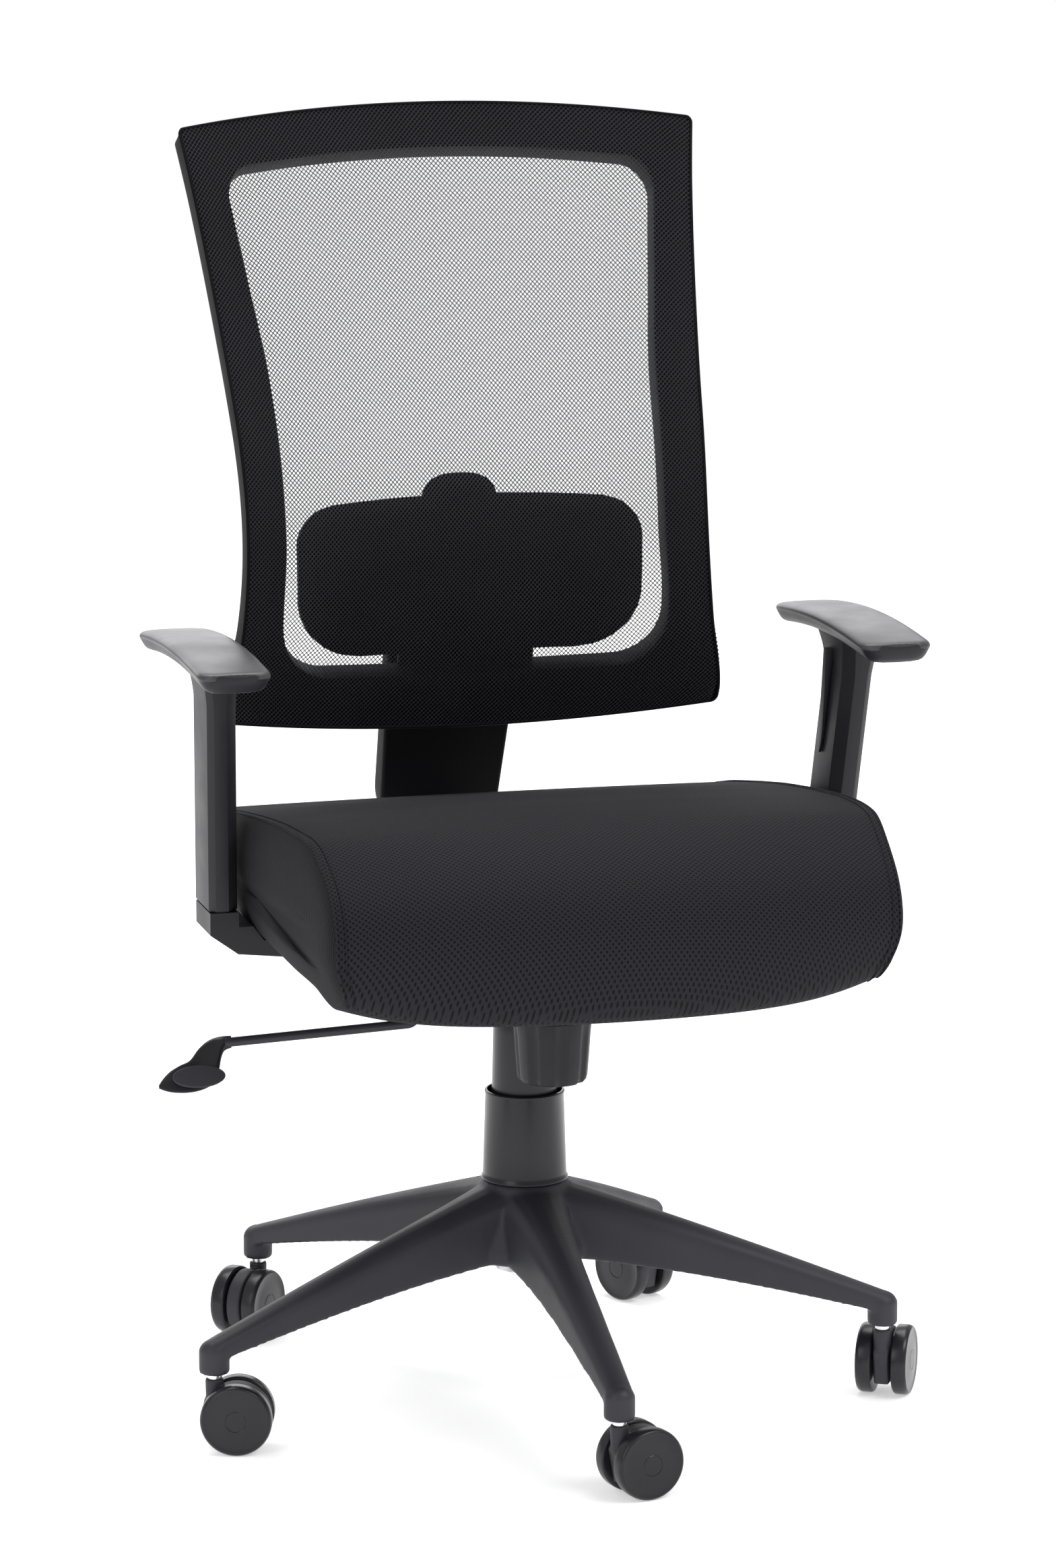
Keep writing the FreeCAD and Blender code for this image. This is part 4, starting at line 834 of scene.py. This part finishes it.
def lumbar_plate():
    """Curved plate behind the net with rounded corners, a finger tab on top and a neck into the frame."""
    low, high, half, sag = 604, 744, 153, 8
    low_corner, high_corner, behind = 56, 34, 20
    columns = 34

    def row(z, width, centre=0.0):
        """Even points across at one height."""
        return [(centre + width * (2 * c / columns - 1), z) for c in range(columns + 1)]

    neck_foot, neck_height, neck_half = 588, 18, 60
    neck = [row(neck_foot + neck_height * k / 3, neck_half) for k in range(4)]
    plate_rows = []
    for k in range(61):
        v = k / 60
        rise, fall = (high - low) * v, (high - low) * (1 - v)
        width = half - 1.5 * (1 - v)
        if rise < low_corner:
            width -= low_corner - math.sqrt(low_corner ** 2 - (low_corner - rise) ** 2)
        if fall < high_corner:
            width -= high_corner - math.sqrt(high_corner ** 2 - (high_corner - fall) ** 2)
        plate_rows.append([(x, z + bow(x, half, sag) * v) for x, z in row(low + rise, width)])
    tab_foot, tab_height, tab_half, tab_shift = 748, 23, 33, -6
    tab = []
    for k in range(10):
        a = math.radians(90 * k / 9)
        width = tab_half * max(math.cos(a), 0.05) ** 0.7
        tab.append(row(tab_foot + tab_height * math.sin(a), width, tab_shift))
    points, faces = [], []
    for block in (neck, plate_rows, tab):
        base = len(points)
        for line in block:
            points += [back_point(x, z, -behind) for x, z in line]
        for r in range(len(block) - 1):
            for c in range(columns):
                a = base + r * (columns + 1) + c
                faces.append((a, a + 1, a + columns + 2, a + columns + 1))
    plate = mesh_piece("lumbar_support", points, faces, MATERIALS["frame_plastic"])
    thick = plate.modifiers.new("thick", "SOLIDIFY")
    thick.thickness = 5.0 * MM
    thick.offset = -1
    freeze(plate)
    soften(plate, 1.2, 3, 50)
    return finished(plate, "lumbar", "frame_plastic", "lumbar_plate")


BAR_LEAN = math.radians(22.1)
BAR_LEVEL = 407.9
BAR_CORNER = (335, BAR_LEVEL)


def along_bar(distance, across):
    """A point on the bar's upright as (y, z): distance up from the corner, across to the rear."""
    y = BAR_CORNER[0] - distance * math.sin(BAR_LEAN) + across * math.cos(BAR_LEAN)
    z = BAR_CORNER[1] + distance * math.cos(BAR_LEAN) + across * math.sin(BAR_LEAN)
    return y, z


def back_bar():
    """Flat steel bar that bends up from under the seat."""
    front_end, upright, bend, bend_steps = 62, 204, 50, 20
    bend_angle = math.pi / 2 + BAR_LEAN
    start = BAR_CORNER[0] - bend * math.tan(bend_angle / 2)
    route = [(front_end, BAR_LEVEL)]
    for i in range(bend_steps + 1):
        a = bend_angle * i / bend_steps
        route.append((start + bend * math.sin(a), BAR_LEVEL + bend * (1 - math.cos(a))))
    route.append(along_bar(upright, 0))
    rings = []
    for i, (y, z) in enumerate(route):
        ahead, behind = route[min(i + 1, len(route) - 1)], route[max(i - 1, 0)]
        length = math.hypot(ahead[0] - behind[0], ahead[1] - behind[1])
        ny, nz = -(ahead[1] - behind[1]) / length, (ahead[0] - behind[0]) / length
        rings.append([(x, y + ny * d, z + nz * d) for x, d in rounded_ring(38, 4, 1.6, 4)])
    bar = mesh_piece("back_bar_steel", *loft(rings), MATERIALS["black_steel"])
    return finished(bar, "seat", "black_steel", "back_bar")


def back_bar_cover():
    """Moulded cover round the upright, rounded behind and at its foot."""
    foot, height, rounded_share = 46, 190, 0.09
    rings = []
    for i in range(31):
        t = i / 30
        k = max(1 - t / rounded_share, 0)
        rounding = 1 - math.sqrt(1 - k * k)
        distance = foot + height * t
        half = mix(53, 60.5, t) - 3 * rounding
        front = mix(-15, -12, t) + 4 * rounding
        rear = mix(19, 13, t) - 12 * rounding
        mid, depth = (front + rear) / 2, (rear - front) / 2
        ring = rounded_ring(half, depth, [8, 8, 3.5, 3.5])
        rings.append([(x, *along_bar(distance, mid + d)) for x, d in ring])
    cover = mesh_piece("back_bar_cover_shell", *loft(rings), MATERIALS["frame_plastic"])
    return finished(soften(cover, 1.2, 3, 50), "seat", "frame_plastic", "back_bar_cover")


# ---------------------------------------------------------------- cushion

# The cushion's side view as (y, z), from the rear foot over the top to the front lip and back underneath.
SEAT_PROFILE = [
    (214, 424), (221, 436), (221, 456), (216, 472), (204, 481), (180, 487), (120, 497), (39, 511), (-50, 524),
    (-135, 534.5), (-190, 538.5), (-232, 539), (-268, 535), (-300, 526), (-324, 513), (-340, 499), (-349, 482),
    (-351, 464), (-348, 446), (-340, 424), (-330, 406), (-312, 395), (-290, 393), (-262, 401), (-240, 412),
    (-200, 417), (0, 417), (190, 417)]
SEAM = 240
MID_HEIGHT = 455


def smooth_step(value):
    """0 to 1 with level ends."""
    value = max(min(value, 1), 0)
    return value * value * (3 - 2 * value)


def seat_loop():
    """The cushion's side profile as an even smooth loop."""
    table = np.array(SEAT_PROFILE + [SEAT_PROFILE[0]], dtype=float)
    lengths = np.concatenate([[0], np.cumsum(np.linalg.norm(np.diff(table, axis=0), axis=1))])
    at = np.linspace(0, lengths[-1], 180, endpoint=False)
    loop = np.stack([np.interp(at, lengths, table[:, k]) for k in (0, 1)], axis=1)
    for _ in range(6):
        loop = 0.5 * loop + 0.25 * (np.roll(loop, 1, axis=0) + np.roll(loop, -1, axis=0))
    return loop


def seat_ring(loop, x, shrink):
    """The side profile at sideways x, with the bowed front, the crowned top and the raised front corners.

    shrink draws the profile towards its middle line, for the side panels.
    """
    across = min(abs(x) / SEAM, 1)
    ring = []
    for y, z in loop:
        # How far the point belongs to the front, the rear, the top and the underside, from 0 to 1.
        front = smooth_step((-190 - y) / 130)
        rear = smooth_step((y - 150) / 70)
        top = max(min((z - MID_HEIGHT) / 60, 1), 0)
        under = max(min((430 - z) / 35, 1), 0)
        crown = (6.5 - 4.5 * smooth_step((y + 60) / 240)) * top * (1 - across ** 2.2)
        lift = 15 * front * under * across ** 5
        y += 40 * front * across ** 2 - 5 * rear * across ** 2 - 6 * rear * across ** 8
        z += crown + lift
        middle_y = min(max(y, -262), 175)
        y += (middle_y - y) * shrink
        z += (MID_HEIGHT - z) * shrink
        # The sides draw in at the front, at the rear and towards the underside.
        pinch = 1 - 0.033 * smooth_step((-150 - y) / 160) - 0.085 * smooth_step((y - 100) / 115)
        pinch -= 0.055 * smooth_step((462 - z) / 60)
        ring.append((x * pinch, y, z))
    return ring


def seat_seam(side, name, x, shrink, radius):
    """Piping or stitched line that follows the seam over the front and the top."""
    rear_foot, underside, front_lip = (214, 430), 424, -280
    path = seat_ring(seat_loop(), side * x, shrink)
    away = [abs(y - rear_foot[0]) + abs(z - rear_foot[1]) for _, y, z in path]
    start = away.index(min(away))
    path = [p for p in path[start:] + path[:start] if p[2] > underside or p[1] < front_lip]
    seam = mesh_piece(name, *tube(path, radius), MATERIALS["seat_fabric"])
    return finished(seam, "seat", "seat_fabric")


def seat_cushion():
    """Waterfall cushion: crowned top panel, a seam along each side and ribbed, slightly full side panels."""
    loop = seat_loop()
    half_rings = 32
    rings = [seat_ring(loop, SEAM * i / half_rings, 0) for i in range(half_rings + 1)]
    side_start = len(rings)
    for x, shrink in ((241.2, 0.006), (243.6, 0.03), (246.0, 0.10), (247.6, 0.24), (248.0, 0.45), (247.8, 0.7),
                      (247.4, 0.97)):
        rings.append(seat_ring(loop, x, shrink))
    mirrored = [[(-x, y, z) for x, y, z in ring] for ring in reversed(rings[1:])]
    cushion = mesh_piece("seat_cushion_cover", *loft(mirrored + rings), MATERIALS["seat_fabric"])
    cushion.data.materials.append(MATERIALS["side_fabric"])
    first_top, last_top = len(mirrored) - side_start, len(mirrored) + side_start - 1
    for polygon in cushion.data.polygons:
        numbers = [k // len(loop) for k in polygon.vertices]
        if min(numbers) <= first_top or max(numbers) > last_top:
            polygon.material_index = 1
    sides = [k for k in range(len(cushion.data.vertices)) if not first_top <= k // len(loop) <= last_top + 1]
    cushion.vertex_groups.new(name="sides").add(sides, 1.0, "REPLACE")
    relax = cushion.modifiers.new("relax", "SMOOTH")
    relax.vertex_group = "sides"
    relax.iterations = 14
    freeze(cushion)
    subdivide(cushion)
    finished(cushion, "seat", "seat_fabric", "seat_cushion")
    for name, side in SIDES:
        seat_seam(side, "seat_piping_" + name, 240.2, 0.004, 1.3)
        seat_seam(side, "seat_stitch_" + name, 233.5, -0.004, 0.6)


# ---------------------------------------------------------------- surroundings

def studio():
    """White surroundings, soft lights and the camera."""
    paper = new_material("paper", (0.90, 0.90, 0.90), 0.9)
    paper_shader = paper.node_tree.nodes["Principled BSDF"]
    paper_shader.inputs["Emission Color"].default_value = (1, 1, 1, 1)
    paper_shader.inputs["Emission Strength"].default_value = 0.44
    floor = bpy.data.meshes.new("floor")
    reach = 60
    corners = [(-reach, -reach, 0), (reach, -reach, 0), (reach, reach, 0), (-reach, reach, 0)]
    floor.from_pydata(corners, [], [(0, 1, 2, 3)])
    floor.materials.append(paper)
    floor_object = bpy.data.objects.new("floor", floor)
    bpy.context.scene.collection.objects.link(floor_object)

    world = bpy.data.worlds.new("studio")
    world.use_nodes = True
    world.node_tree.nodes["Background"].inputs["Color"].default_value = (1, 1, 1, 1)
    world.node_tree.nodes["Background"].inputs["Strength"].default_value = 0.62
    bpy.context.scene.world = world

    def soft_light(name, spot, aim, power, size):
        """An area light at spot that faces aim; lengths in metres and power in watts."""
        data = bpy.data.lights.new(name, "AREA")
        data.energy = power
        data.shape = "RECTANGLE"
        data.size, data.size_y = size
        light = bpy.data.objects.new(name, data)
        light.location = spot
        light.rotation_euler = (Vector(aim) - Vector(spot)).to_track_quat("-Z", "Y").to_euler()
        bpy.context.scene.collection.objects.link(light)

    soft_light("key", (1.8, -2.2, 3.4), (0, 0, 0.5), 70, (2.2, 1.6))
    soft_light("fill", (-3.0, -2.2, 2.0), (0, 0, 0.5), 22, (1.6, 2.2))
    soft_light("top", (0, 1.0, 3.4), (0, 0, 0.5), 80, (2.6, 2.0))
    soft_light("rear", (0, 4.2, 1.6), (0, 0, 0.66), 42, (4.0, 1.5))

    stand, azimuth, pitch = (-1.3239, -5.0979, 1.5908), math.radians(-14.5896), math.radians(11.4092)
    level = math.cos(pitch)
    back = Vector((math.sin(azimuth) * level, -math.cos(azimuth) * level, math.sin(pitch)))
    right = Vector((math.cos(azimuth), math.sin(azimuth), 0))
    up = back.cross(right)
    lens = bpy.data.cameras.new("camera")
    lens.sensor_fit = "VERTICAL"
    lens.sensor_height = 36
    lens.lens = 146.94
    lens.shift_y = 0.0019
    camera = bpy.data.objects.new("camera", lens)
    turn = Matrix((right, up, back)).transposed().to_4x4()
    camera.matrix_world = Matrix.Translation(stand) @ turn
    bpy.context.scene.collection.objects.link(camera)
    bpy.context.scene.camera = camera
    bpy.context.scene.view_settings.view_transform = "Standard"


# ---------------------------------------------------------------- scene

star_base()
column_covers()
casters()
tension_knob()
lever_paddle()
for arm_name, arm_side in SIDES:
    arm_sleeve(arm_name, arm_side)
    arm_pad(arm_name, arm_side)
    arm_lever(arm_name, arm_side)
back_frame()
back_boss()
back_net()
back_binding()
lumbar_plate()
back_bar()
back_bar_cover()
seat_cushion()
studio()
